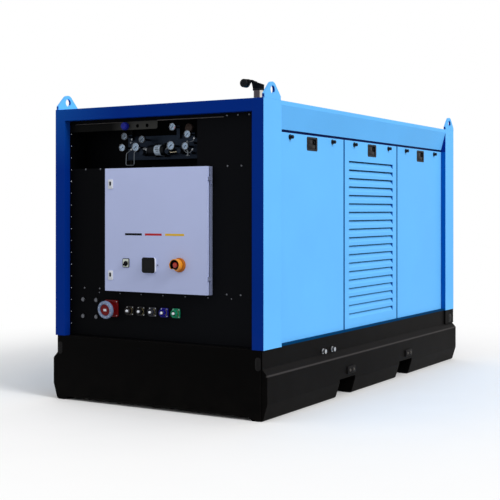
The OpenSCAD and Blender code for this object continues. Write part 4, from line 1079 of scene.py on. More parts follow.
class GENERATOR_OT_coats(GeneratorOperator, bpy.types.Operator):
    """Gives every CAD node its finish"""
    bl_idname = "generator.coats"
    bl_label = "Coats and metals"

    by_slot = {
        "canopy_paint": "canopy_coat", "skid_black": "skid_coat", "panel_black": "front_coat",
        "cabinet_grey": "cabinet_coat", "grey_paint": "grey_sheet_paint", "steel": "brushed_steel",
        "polished_steel": "exhaust_steel", "black_plastic": "black_moulding", "grey_plastic": "grey_moulding",
        "cap_blue": "blue_moulding", "gauge_white": "dial_print", "safety_yellow": "yellow_moulding",
        "socket_red": "red_moulding",
    }
    by_node = {"gas_back_plate": "dull_steel", "gas_regulators": "dull_steel", "gas_tubing": "turned_steel",
               "filler_fittings": "zinc_plate", "blanking_plugs": "dark_zinc",
               "cabinet_body": "cabinet_frame_coat", "sills": "sill_coat", "mullions": "joint_coat"}

    def execute(self, context):
        for name, node in NODES.items():
            slot = node.data.materials[0].name.split(".")[0]
            node.data.materials[0] = finish(self.by_node.get(name, self.by_slot[slot]))
        return {"FINISHED"}


class GENERATOR_OT_front_screws(GeneratorOperator, bpy.types.Operator):
    """Screws of the recessed front panels"""
    bl_idname = "generator.front_screws"
    bl_label = "Front screws"

    seam_row = (-0.748, -0.588, 0.643, 0.768)
    top_row = (-0.736, -0.581, 0.65, 0.775)
    upper_row = (0.645, 0.743, 0.842)
    under_row = (-0.592, 0.686, 7)         # both ends and the number below the cabinet
    edge_x, edge_count = -0.89, 17

    def execute(self, context):
        low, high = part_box("connector_panel")
        plane, foot, seam = low.y, low.z, high.z
        head = fasteners().panel_screw
        top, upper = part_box("front_panels_side")[1].z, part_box("front_panel_upper")[1].z
        spots = [(x, plane, seam + 0.009) for x in self.seam_row]
        spots += [(x, plane, top - 0.006) for x in self.top_row]
        spots += [(x, plane, upper - 0.018) for x in self.upper_row]
        left, right, count = self.under_row
        under = row((left, plane, seam - 0.023), (right, plane, seam - 0.023), count)
        half = (top + 0.29 - foot) / self.edge_count / 2
        edge = row((self.edge_x, plane, foot + 0.05 + half), (self.edge_x, plane, top + 0.34 - half),
                   self.edge_count)
        screws("front_screws", head, facing_all(spots, FRONT), "dark_zinc")
        screws("cabinet_row_screws", head * 0.7, facing_all(under, FRONT), "dark_zinc")
        screws("edge_screws", fasteners().rivet, facing_all(edge, FRONT))
        return {"FINISHED"}


class GENERATOR_OT_door_stripe(GeneratorOperator, bpy.types.Operator):
    """The three plain bars on the cabinet door"""
    bl_idname = "generator.door_stripe"
    bl_label = "Door stripe"

    bars = ("black", -0.283, -0.117), ("red", -0.087, 0.076), ("yellow", 0.109, 0.289)
    rise, height = 0.46, 0.017         # above the door's foot

    def execute(self, context):
        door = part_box("cabinet_door")
        for name, left, right in self.bars:
            film = Shape()
            at = place(((left + right) / 2, door[0].y, door[0].z + self.rise))
            film.slab((right - left, self.height, 0.001), at, FILM)
            film.done(f"door_bar_{name}", f"{name}_print", "black_plastic", "door")
        return {"FINISHED"}


class GENERATOR_OT_gauges(GeneratorOperator, bpy.types.Operator):
    """Pressure gauges: cases, printed dials, needles and windows"""
    bl_idname = "generator.gauges"
    bl_label = "Pressure gauges"

    depth = 0.026
    dial_lift = 0.0205         # the dial's face above the back of the case
    needle_turns = (133, 128, 135, 131, 128, 134, 130, 136)      # degrees from the upright, anticlockwise
    red_gauge = 5              # the gauge with a red limit mark
    needle = (-0.1, -0.4), (0.1, -0.4), (0.095, 0), (0.04, 0.8), (-0.04, 0.8), (-0.095, 0)     # in radii
    shade_x, shade_z = -0.1, 2.11      # the gauges left of and above this hang in the bracket's shade

    def execute(self, context):
        sizes, depth, lift = context.scene.generator_gauges, self.depth, self.dial_lift
        cases, dials, shaded_cases, shaded_dials, hubs, windows, numbers, limits = (Shape() for _ in range(8))
        spots = []
        for i, (low, high) in enumerate(solids_of("gas_gauges", apart=True)):
            radius, centre = (high.x - low.x) / 2, middle((low, high))
            clear = radius - sizes.bezel
            at = place((centre.x + 0.007, high.y, centre.z))
            face = shifted(at, 0, 0, lift)
            # Painted shade: gauges under the bracket get dimmed cases and dials.
            shaded = at.translation.x < self.shade_x and at.translation.z > self.shade_z
            case, dial = (shaded_cases, shaded_dials) if shaded else (cases, dials)
            case.turned([(radius * 0.82, 0), (radius * 0.92, 0.003), (radius * 0.92, depth - 0.011),
                         (radius, depth - 0.009), (radius, depth - 0.002), (radius - 0.001, depth - 0.0004),
                         (radius - 0.0022, depth), (clear + 0.0005, depth - 0.0008), (clear, depth - 0.002),
                         (clear, lift - 0.001)], at, 48)
            dial.turned([(clear - 0.0003, -0.0009), (clear - 0.0003, 0)], face, 48)
            turn = math.radians(self.needle_turns[i % len(self.needle_turns)])
            needle = shifted(face @ Matrix.Rotation(turn, 4, "Z"), 0, 0, 0.0012)
            hubs.prism([(u * clear, v * clear) for u, v in self.needle], needle, 0.0007)
            hubs.turned([(0.11 * clear, -0.0012), (0.11 * clear, 0.0012), (0.07 * clear, 0.002)], needle, 16)
            windows.turned([(clear - 0.0004, 0), (clear - 0.0004, 0.0008), (clear * 0.6, 0.0013),
                            (0, 0.0016)], shifted(face, 0, 0, 0.0032), 40)
            if i == self.red_gauge:
                self.limit(limits, face, clear, sizes.sweep)
            self.number(numbers, face, clear, sizes.sweep)
            spots.append((face.translation, FRONT, clear))
        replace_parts(cases.done("gauge_cases", "case_steel", "steel", sharp=25), "gas_gauges")
        dials.done("gauge_dials", "dial_print", "gauge_white")
        shaded_cases.done("gauge_cases_shaded", "dark_zinc", "steel", sharp=25)
        shaded_dials.done("gauge_dials_shaded", "dim_dial_print", "gauge_white")
        hubs.done("gauge_needles", "black_print", "black_plastic")
        windows.done("gauge_windows", "clear_window", "gauge_white", sharp=60)
        numbers.done("gauge_numbers", "black_print", "black_plastic")
        limits.done("gauge_limit_mark", "red_print", "socket_red")
        values = {"Count": sizes.marks, "Sweep": sizes.sweep, "Radius": 0.84}
        marks = grown("gauge_marks", spot_mesh(spots), dial_marks(), values, "black_print")
        dressed("gauge_marks", marks, "housing")
        return {"FINISHED"}

    def limit(self, shape, face, clear, sweep):
        """A red zone at the top end of the scale."""
        start, end = TURN / 4 - sweep / 2, TURN / 4 - sweep / 3
        outer, inner = arc(clear * 0.93, start, end, 10), arc(clear * 0.74, end, start, 10)
        shape.prism(outer + inner, face, 0.0002)

    def number(self, shape, face, clear, sweep):
        """Plain numbers at every fifth mark."""
        for i in range(7):
            angle = TURN / 4 + sweep / 2 - sweep * i / 6
            spot = shifted(face, 0.6 * clear * math.cos(angle), 0.6 * clear * math.sin(angle), 0)
            letters(shape, str(i * 2), spot, 0.15 * clear, 0.0002)


def letters(shape, words, at, height, depth):
    """Adds words to a shape, centred on a place and standing out by depth."""
    curve = bpy.data.curves.new("letters", "FONT")
    curve.body = words
    curve.size = height * 1.4
    curve.align_x, curve.align_y = "CENTER", "CENTER"
    curve.extrude = depth / 2
    curve.resolution_u = 2
    text = bpy.data.objects.new("letters", curve)
    bpy.context.scene.collection.objects.link(text)
    data = evaluated(text)
    data.transform(shifted(at, 0, 0, depth / 2))
    shape.mesh.from_mesh(data)
    bpy.data.curves.remove(curve)
    bpy.data.meshes.remove(data)


class GENERATOR_OT_power_socket(GeneratorOperator, bpy.types.Operator):
    """The large power socket: flange, body, locking ring and cap"""
    bl_idname = "generator.power_socket"
    bl_label = "Power socket"

    tilt = math.radians(8)     # the socket looks down by this much
    rise = 0.243               # height of its middle above the connector panel's foot

    def execute(self, context):
        low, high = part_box("power_socket")
        plane, centre_x = high.y, (low.x + high.x) / 2
        flange = (high.x - low.x) * 137 / 150
        centre_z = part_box("connector_panel")[0].z + self.rise
        mount = place((centre_x, plane, centre_z))
        way = Vector((0, -math.cos(self.tilt), -math.sin(self.tilt)))
        base = place((centre_x - 0.01, plane - 0.01, centre_z), way)
        red = Shape()
        red.slab((flange, flange, 0.014), mount, 0.01, edge=0.003)
        body = flange * 0.43
        red.turned([(body, -0.004), (body, 0.03), (body - 0.003, 0.034), (body - 0.003, 0.046)], base, 64)
        for ear in around(base, 4, 0.5):
            red.slab((0.02, 0.01, 0.003, (0, body - 0.001)), ear, 0.022, edge=0.002)
        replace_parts(red.done("socket_body", "red_moulding", "socket_red"), "power_socket")
        ring, radius = Shape(), (high.x - low.x) / 2 * 0.97
        inner = radius * 0.66
        ring.turned([(radius * 0.93, 0.044), (radius - 0.002, 0.046), (radius, 0.05), (radius, 0.068),
                     (radius - 0.003, 0.0725), (radius - 0.008, 0.074), (inner + 0.004, 0.074),
                     (inner, 0.0715), (inner, 0.044)], base, 72, closed=True)
        for rib in around(base, 24):
            ring.slab((0.006, 0.0035, 0.0012, (0, radius - 0.0018)), rib, 0.017, edge=0.001, base=0.051)
        ring.done("socket_ring", "ring_moulding", "grey_plastic")
        cap = Shape()
        cap.turned([(inner - 0.001, 0.046), (inner - 0.001, 0.066), (inner - 0.003, 0.0685),
                    (inner * 0.78, 0.07), (inner * 0.74, 0.0685)], base, 56)
        cap.done("socket_cap", "red_moulding", "socket_red")
        marks = Shape()
        marks.slab((0.03, 0.02, 0.003), shifted(base, 0, 0, 0.0685), 0.0008, edge=0.0003)
        for spot in around(base, 10):
            marks.slab((0.01, 0.004, 0.001, (0, (inner + radius) / 2)), spot, FILM, base=0.074)
        marks.done("socket_marks", "white_moulding", "gauge_white")
        screws("socket_screws", 0.007, corners_of(mount, flange / 2 - 0.013, 0.01))
        return {"FINISHED"}


class GENERATOR_OT_connectors(GeneratorOperator, bpy.types.Operator):
    """The row of single-pole connectors, one colour for each conductor"""
    bl_idname = "generator.connectors"
    bl_label = "Connectors"

    def execute(self, context):
        rings, tips, spots, shells = Shape(), Shape(), [], []
        sweep, ball_radius, ball_height = math.radians(62), 0.0118, 0.0462
        outer, inner = arc(0.0285, -sweep, sweep, 16), arc(0.026, sweep, -sweep, 16)
        ball = [(ball_radius * math.sin(a), ball_height - ball_radius * math.cos(a))
                for a in [math.radians(40) + i * math.radians(140) / 10 for i in range(10)]]
        for box, name in zip(solids_of("power_connectors"), CONDUCTORS):
            at, flange, *_ = seat(box)
            shell = Shape()
            shell.slab((flange, flange, 0.008), at, 0.008, edge=0.002)
            shell.turned([(0.0255, 0.004), (0.0255, 0.018), (0.0275, 0.0195), (0.028, 0.021), (0.028, 0.0425),
                          (0.0265, 0.0448), (0.0225, 0.045), (0.0205, 0.043), (0.02, 0.022)], at, 40)
            for rib in around(at, 10):
                shell.slab((0.005, 0.003, 0.001, (0, 0.0282)), rib, 0.018, edge=0.0008, base=0.0225)
            shells.append(shell.done(f"connector_shell_{name}", f"{name}_shell", "black_plastic"))
            rings.prism(outer + inner, at, 0.0085, edge=0.0008, base=0.0078)
            tips.turned([(0.0084, 0.0215), *ball, (0, 0.058)], at, 28)
            spots += corners_of(at, flange / 2 - 0.01, 0.008)
        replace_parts(shells[0], "power_connectors")
        rings.done("connector_rings", "brass_chrome", "polished_steel")
        tips.done("connector_tips", "white_moulding", "gauge_white", sharp=50)
        screws("connector_screws", fasteners().small_bolt, spots)
        return {"FINISHED"}


class GENERATOR_OT_locks(GeneratorOperator, bpy.types.Operator):
    """The two quarter-turn locks of the cabinet door"""
    bl_idname = "generator.locks"
    bl_label = "Door locks"

    def execute(self, context):
        plates, barrels = Shape(), Shape()
        for box in solids_of("door_locks"):
            at, width, height, _ = seat(box)
            plates.slab((width, height, 0.007), at, 0.005, edge=0.002)
            plates.slab((width * 0.62, height * 0.66, 0.006, (0, height * 0.05)), at, 0.0072, edge=0.0015)
            barrels.slab((0.019, 0.034, 0.0075, (0, height * 0.06)), at, 0.0078, edge=0.0004)
            barrels.turned([(0.0066, 0.0075), (0.0066, 0.0088)], shifted(at, 0, height * 0.12, 0), 20)
        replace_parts(plates.done("lock_plates", "white_moulding", "steel", "door"), "door_locks")
        barrels.done("lock_keyholes", "black_moulding", "black_plastic", "door")
        return {"FINISHED"}


class GENERATOR_OT_selector(GeneratorOperator, bpy.types.Operator):
    """The turning selector switch with its label plate"""
    bl_idname = "generator.selector"
    bl_label = "Selector switch"

    def execute(self, context):
        at, width, height, _ = seat(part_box("selector_switch"))
        width, height, drop = width * 1.14, height * 1.05, 0.005
        knob = shifted(at, 0, -drop, 0)
        bezel = Shape()
        bezel.slab((width, height, 0.007), at, 0.006, edge=0.002)
        bezel.turned([(0.021, 0.005), (0.021, 0.009), (0.0185, 0.0125)], knob, 40)
        grip = knob @ Matrix.Rotation(math.radians(-40), 4, "Z")
        bezel.slab((0.012, 0.04, 0.005), grip, 0.017, edge=0.003, base=0.0125)
        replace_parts(bezel.done("selector_body", "black_moulding", "black_plastic", "door"), "selector_switch")
        label = Shape()
        hole = disc(0.0215, 24, (0, -drop))
        label.frame(rectangle(width - 0.01, height - 0.01, 0.004, steps=5), hole[3:] + hole[:3], at, 0.0012,
                    base=0.0055)
        label.done("selector_label", "brushed_label", "steel", "door")
        return {"FINISHED"}


class GENERATOR_OT_control_unit(GeneratorOperator, bpy.types.Operator):
    """The control unit: white housing, black front with a dark display and keys"""
    bl_idname = "generator.control_unit"
    bl_label = "Control unit"

    def execute(self, context):
        at, width, height, depth = seat(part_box("control_unit"))
        split = depth * 0.72       # the white housing ends here
        housing = Shape()
        housing.slab((width - 0.004, height - 0.004, 0.016), at, split, edge=0.001)
        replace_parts(housing.done("control_housing", "white_moulding", "gauge_white", "door"), "control_unit")
        front = Shape()
        front.slab((width + 0.008, height + 0.003, 0.018, (-0.004, 0)), at, depth - 0.002 - split,
                   edge=0.004, base=split)
        opening = rectangle(width * 0.76, height * 0.6, 0.004, (0, height * 0.06))
        front.frame(rectangle(width - 0.006, height - 0.01, 0.013, (-0.003, 0)), opening, at, 0.002,
                    base=depth - 0.0022)
        keys = [(width * 0.2, -width * 0.24)] + [(0.01, width * (0.04 + 0.15 * i)) for i in range(3)]
        for wide, across in keys:
            front.slab((wide, 0.01, 0.003, (across, -height * 0.35)), at, 0.0015, edge=0.0008,
                       base=depth - 0.001)
        front.turned([(0.0045, -0.001), (0.0045, 0.004), (0.003, 0.007), (0, 0.008)],
                     shifted(at, width / 2 + 0.014, 0.002, 0), 20)
        front.done("control_front", "black_moulding", "black_plastic", "door")
        display = Shape()
        display.slab((width * 0.74, height * 0.58, 0.003, (0, height * 0.06)), at, 0.0006,
                     base=depth - 0.0022)
        display.done("control_display", "display_glass", "black_plastic", "door")
        return {"FINISHED"}


class GENERATOR_OT_stop_button(GeneratorOperator, bpy.types.Operator):
    """The stop button: yellow base, open collar and red mushroom head"""
    bl_idname = "generator.stop_button"
    bl_label = "Stop button"

    wall = 0.006
    gap = math.radians(222), math.radians(290)         # the collar is open between these

    def collar(self, outer_radius, inner_radius):
        """The outline of an open collar."""
        start, end = self.gap
        return arc(outer_radius, end - TURN, start, 60) + arc(inner_radius, start, end - TURN, 60)

    def execute(self, context):
        at, width, _, depth = seat(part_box("stop_button"))
        base_r = width / 2
        collar_r = base_r - 0.008
        within = collar_r - self.wall
        ahead = shifted(at, -0.01, 0.001, 0)
        base = Shape()
        base.turned([(base_r, 0), (base_r, 0.012), (base_r - 0.002, 0.0165), (base_r - 0.005, 0.018)], at, 64)
        base.done("stop_disc", "amber_moulding", "safety_yellow", "door")
        yellow = Shape()
        yellow.turned([(collar_r, 0.017), (collar_r, 0.019), (0, 0.02)], ahead, 64)
        yellow.prism(self.collar(collar_r, within), ahead, depth - 0.0185, edge=0.0015, base=0.0185)
        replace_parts(yellow.done("stop_base", "yellow_moulding", "safety_yellow", "door"), "stop_button")
        # Painted shade: a black liner inside the collar stands for the shade within it.
        shade_liner = Shape()
        shade_liner.prism(self.collar(within - 0.0004, within - 0.003), ahead, depth - 0.0215, base=0.019)
        shade_liner.turned([(within - 0.002, 0.0192), (within - 0.002, 0.0225), (0.02, 0.0235)], ahead, 48)
        shade_liner.done("stop_liner", "gas_black", "black_plastic", "door")
        head = Shape()
        head.turned([(0.013, 0.02), (0.013, 0.04), (0.0185, 0.0415), (0.0215, 0.044), (0.0226, 0.048),
                     (0.0212, 0.0525), (0.0175, 0.0562), (0.012, 0.0588), (0.006, 0.06), (0, 0.0603)],
                    ahead, 44)
        head.done("stop_head", "mushroom_moulding", "safety_yellow", "door", sharp=60)
        return {"FINISHED"}


def outward_of(spot):
    """The way out of the long side that a place is on."""
    return RIGHT if spot.x > 0 else LEFT


def lobed(radius, depth, lobes, steps=4):
    """A round outline with a wavy edge."""
    angles = [TURN * i / (lobes * steps) for i in range(lobes * steps)]
    reaches = [radius - depth * (1 - math.cos(lobes * angle)) / 2 for angle in angles]
    return [(reach * math.cos(angle), reach * math.sin(angle)) for reach, angle in zip(reaches, angles)]


class GENERATOR_OT_louvre_linings(GeneratorOperator, bpy.types.Operator):
    """Quilted lining boards behind the louvred panels"""
    bl_idname = "generator.louvre_linings"
    bl_label = "Louvre linings"

    thick = 0.012
    edge = 0.028           # the boards end this far inside the panels
    columns, rows = 4, 7

    def execute(self, context):
        boards = {"panel_right_louvred": RIGHT, "panel_left_louvred": LEFT, "rear_panel_louvred": REAR}
        for name, facing in boards.items():
            low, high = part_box(name)
            back, size = middle((low, high)), high - low
            if facing is REAR:
                back.y = low.y
            else:
                back.x = low.x if facing is RIGHT else high.x
            width = (size.x if facing is REAR else size.y) - 2 * self.edge
            height = size.z - 0.1
            at = place(back - facing * (self.thick + 0.003), facing)
            board = Shape()
            board.slab((width, height), at, self.thick * 0.5)
            cell_w, cell_h = width / self.columns, height / self.rows
            for i in range(self.columns * self.rows):
                column, line = divmod(i, self.rows)
                centre = ((column + 0.5) * cell_w - width / 2, (line + 0.5) * cell_h - height / 2)
                board.slab((cell_w - 0.008, cell_h - 0.008, 0.02, centre), at, self.thick * 0.55,
                           edge=0.005, base=self.thick * 0.45)
            board.done(f"{name}_lining", "lining", "panel_black")
        return {"FINISHED"}


class GENERATOR_OT_latches(GeneratorOperator, bpy.types.Operator):
    """Paddle latches: rimmed frame, dark well and a stepped paddle"""
    bl_idname = "generator.latches"
    bl_label = "Paddle latches"

    def execute(self, context):
        frames, wells, paddles = Shape(), Shape(), Shape()
        for low, high in solids_of("paddle_latches"):
            spot, size = middle((low, high)), high - low
            facing = outward_of(spot)
            width, height, depth = size.y + 0.005, size.z + 0.004, size.x
            face = high.x if spot.x > 0 else low.x
            at = place((face - facing.x * 0.0025, spot.y, spot.z), facing)

            def rim(gap, radius):
                return rectangle(width - gap, height - gap, radius)

            frames.frame(rectangle(width + 0.012, height, 0.014, (0.006 * facing.x, 0)), rim(0.03, 0.008),
                         at, 0.0016)
            frames.frame(rim(0.008, 0.011), rim(0.022, 0.008), at, 0.001, base=0.0014)
            wells.frame(rim(0.02, 0.008), rim(0.028, 0.006), at, depth - 0.003, base=0.0012 - depth + 0.003)
            wells.prism(rim(0.02, 0.008), at, 0.002, base=0.0026 - depth)
            wells.turned([(0.009, -0.01), (0.009, -0.003)], shifted(at, width * 0.3, height * 0.14, 0), 18)
            inner_w, inner_h = width - 0.034, height - 0.034
            paddles.slab((inner_w, inner_h * 0.42, 0.005, (0, -inner_h * 0.28)), at, 0.009,
                         edge=0.003, base=-0.01)
            paddles.slab((inner_w * 0.62, inner_h * 0.58, 0.005, (-inner_w * 0.19, inner_h * 0.19)),
                         at, 0.008, edge=0.0025, base=-0.0105)
            for side in (-1, 1):
                paddles.turned([(0.0042, -0.004), (0.0042, 0.001), (0.003, 0.0022), (0, 0.0024)],
                               shifted(at, side * (width / 2 - 0.0075), 0, 0), 14)
        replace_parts(frames.done("latch_frames", "latch_frame", "black_plastic"), "paddle_latches")
        wells.done("latch_wells", "latch_well", "black_plastic")
        paddles.done("latch_paddles", "latch_paddle", "black_plastic")
        return {"FINISHED"}


class GENERATOR_OT_panel_knobs(GeneratorOperator, bpy.types.Operator):
    """Knurled knobs that hold the tops of the side panels"""
    bl_idname = "generator.panel_knobs"
    bl_label = "Panel knobs"

    def execute(self, context):
        knobs = solids_of("wing_knobs")
        low, high = knobs[0]
        reach, base_r = high.x - low.x, (high.z - low.z) / 2
        head_r = base_r * 30 / 42
        form = Shape()
        form.prism(lobed(base_r, 0.0012, 12), ORIGIN, 0.008, edge=0.002)
        form.turned([(head_r * 0.75, 0.007), (head_r * 0.55, 0.01), (head_r * 0.52, reach - 0.016)],
                    ORIGIN, 20)
        form.prism(lobed(head_r, 0.0014, 9), ORIGIN, 0.0172, edge=0.004, steps=3, base=reach - 0.018)
        form.turned([(head_r * 0.5, reach - 0.002), (head_r * 0.5, reach - 0.0002), (0, reach)], ORIGIN, 16)
        spots = []
        for low, high in knobs:
            spot = middle((low, high))
            spots.append(((low.x if spot.x > 0 else high.x, spot.y, spot.z), outward_of(spot)))
        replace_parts(stand("panel_knobs", form, spots, "latch_frame"), "wing_knobs")
        return {"FINISHED"}


class GENERATOR_OT_skid_fittings(GeneratorOperator, bpy.types.Operator):
    """Ribs and bolts of the skid's covers, bolted pads and the fillers' screws"""
    bl_idname = "generator.skid_fittings"
    bl_label = "Skid fittings"

    rib_height = 0.0035        # how far the covers' ribs and bolts stand proud
    bolt_height = 0.0065

    def execute(self, context):
        self.covers()
        self.pads()
        fillers = []
        for low, high in solids_of("filler_fittings"):
            spot = middle((low, high))
            wall = low.x if spot.x > 0 else high.x
            fillers += [((wall, spot.y + side * 0.011, low.z - 0.036), outward_of(spot)) for side in (-1, 1)]
        screws("filler_screws", fasteners().small_bolt, fillers)
        return {"FINISHED"}

    def covers(self):
        plates, ribs, bolts, proud = Shape(), Shape(), [], self.rib_height
        for low, high in solids_of("skid_covers"):
            face, size = middle((low, high)), high - low
            if size.x < size.y:
                facing, width, thick = outward_of(face), size.y, size.x
                face.x = high.x if face.x > 0 else low.x
            else:
                facing, width, thick = (FRONT if face.y < 0 else REAR), size.x, size.y
                face.y = low.y if face.y < 0 else high.y
            face -= facing * proud
            at = place(face, facing)
            radius = min(width, size.z) / 2
            outline = rectangle(width, size.z, radius - 0.0005, steps=10)
            plates.prism(outline, at, thick - proud, edge=0.0025, base=proud - thick)
            for i in range(-3, 4):
                ribs.slab((width - 0.018, 0.0035, 0.0015, (0, i * 0.0085)), at, 0.0016, edge=0.0005)
            reach = max(size.z - 2 * radius, 0) / 2 + radius * 0.45
            way = at.to_3x3() @ (Vector((0, 1, 0)) if size.z >= width else Vector((1, 0, 0)))
            bolts += [(face + way * reach * side, facing) for side in (-1, 1)]
        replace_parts(plates.done("cover_plates", "cover_moulding", "black_plastic"), "skid_covers")
        ribs.done("cover_ribs", "cover_moulding", "black_plastic")
        screws("cover_bolts", fasteners().small_bolt, bolts, "pad_steel")

    def pads(self):
        plates, bolts, proud = Shape(), [], self.bolt_height
        for low, high in solids_of("fork_pads"):
            spot, size = middle((low, high)), high - low
            facing = outward_of(spot)
            outer = high.x if spot.x > 0 else low.x
            at = place((outer - facing.x * size.x, spot.y, spot.z), facing)
            plates.slab((size.y, size.z, 0.008), at, size.x - proud, edge=0.004)
            bolts += [((outer - facing.x * proud, spot.y + side * size.y * 0.24, spot.z), facing)
                      for side in (-1, 1)]
        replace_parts(plates.done("pad_plates", "pad_steel", "skid_black"), "fork_pads")
        corner = fasteners().bolt * 0.7 / math.sqrt(3)
        form = Shape()
        form.turned([(corner * 1.3, 0), (corner * 1.3, 0.0012), (corner, 0.0016)], ORIGIN, 20, flat_foot=True)
        form.prism(disc(corner, 6), ORIGIN, 0.005, edge=0.0014, steps=1, base=0.0014)
        stand("pad_bolts", form, bolts, "bolt_steel")


class GENERATOR_OT_rain_cap(GeneratorOperator, bpy.types.Operator):
    """Rain cap: deep arm with its counterweight, beside the cap's disc"""
    bl_idname = "generator.rain_cap"
    bl_label = "Rain cap"

    # the arm's outline, from the middle of the weight
    arm_outline = ((0.004, -0.036), (0.03, -0.03), (0.052, -0.014), (0.066, 0.006), (0.066, 0.026),
                   (0.04, 0.036), (0, 0.0395))
    pipe_radius, clamp_radius, bead_radius = 0.0448, 0.053, 0.0035

    def execute(self, context):
        low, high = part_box("rain_cap_flap")
        weight = Vector((low.x + 0.04, (low.y + high.y) / 2, high.z - 0.04))
        arm = Shape()
        outline = [(weight.x + u, weight.z + v) for u, v in self.arm_outline]
        arm.prism(outline, place((0, weight.y + 0.0047, 0)), 0.0094, edge=0.0015)
        for facing in (REAR, FRONT):
            arm.turned([(0.0385, 0), (0.0392, 0.002), (0.0392, 0.016), (0.036, 0.02), (0.018, 0.021),
                        (0.017, 0.019), (0.008, 0.019), (0.007, 0.0225), (0, 0.0228)],
                       place(weight + facing * 0.012, facing), 40)
        arm.done("rain_cap_arm", "cover_moulding", "black_plastic", "rain_flap")
        axis, inner, outer = middle(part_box("exhaust_pipe")), self.pipe_radius, self.clamp_radius
        clamp = Shape()
        foot = Matrix.Translation((axis.x, axis.y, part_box("rain_cap_collar")[0].z))
        clamp.turned([(inner, 0.001), (outer - 0.001, 0.001), (outer, 0.002), (outer, 0.014),
                      (outer - 0.001, 0.015), (inner, 0.015)], foot, 48, closed=True)
        clamp.done("rain_cap_clamp", "cover_moulding", "black_plastic")
        bead = Shape()
        foot = Matrix.Translation((axis.x, axis.y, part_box("roof_panel")[1].z + 0.004))
        bead.turned(disc(self.bead_radius, 10, (0.0452, 0)), foot, 48, closed=True)
        bead.done("exhaust_weld", "exhaust_steel", "polished_steel")
        return {"FINISHED"}


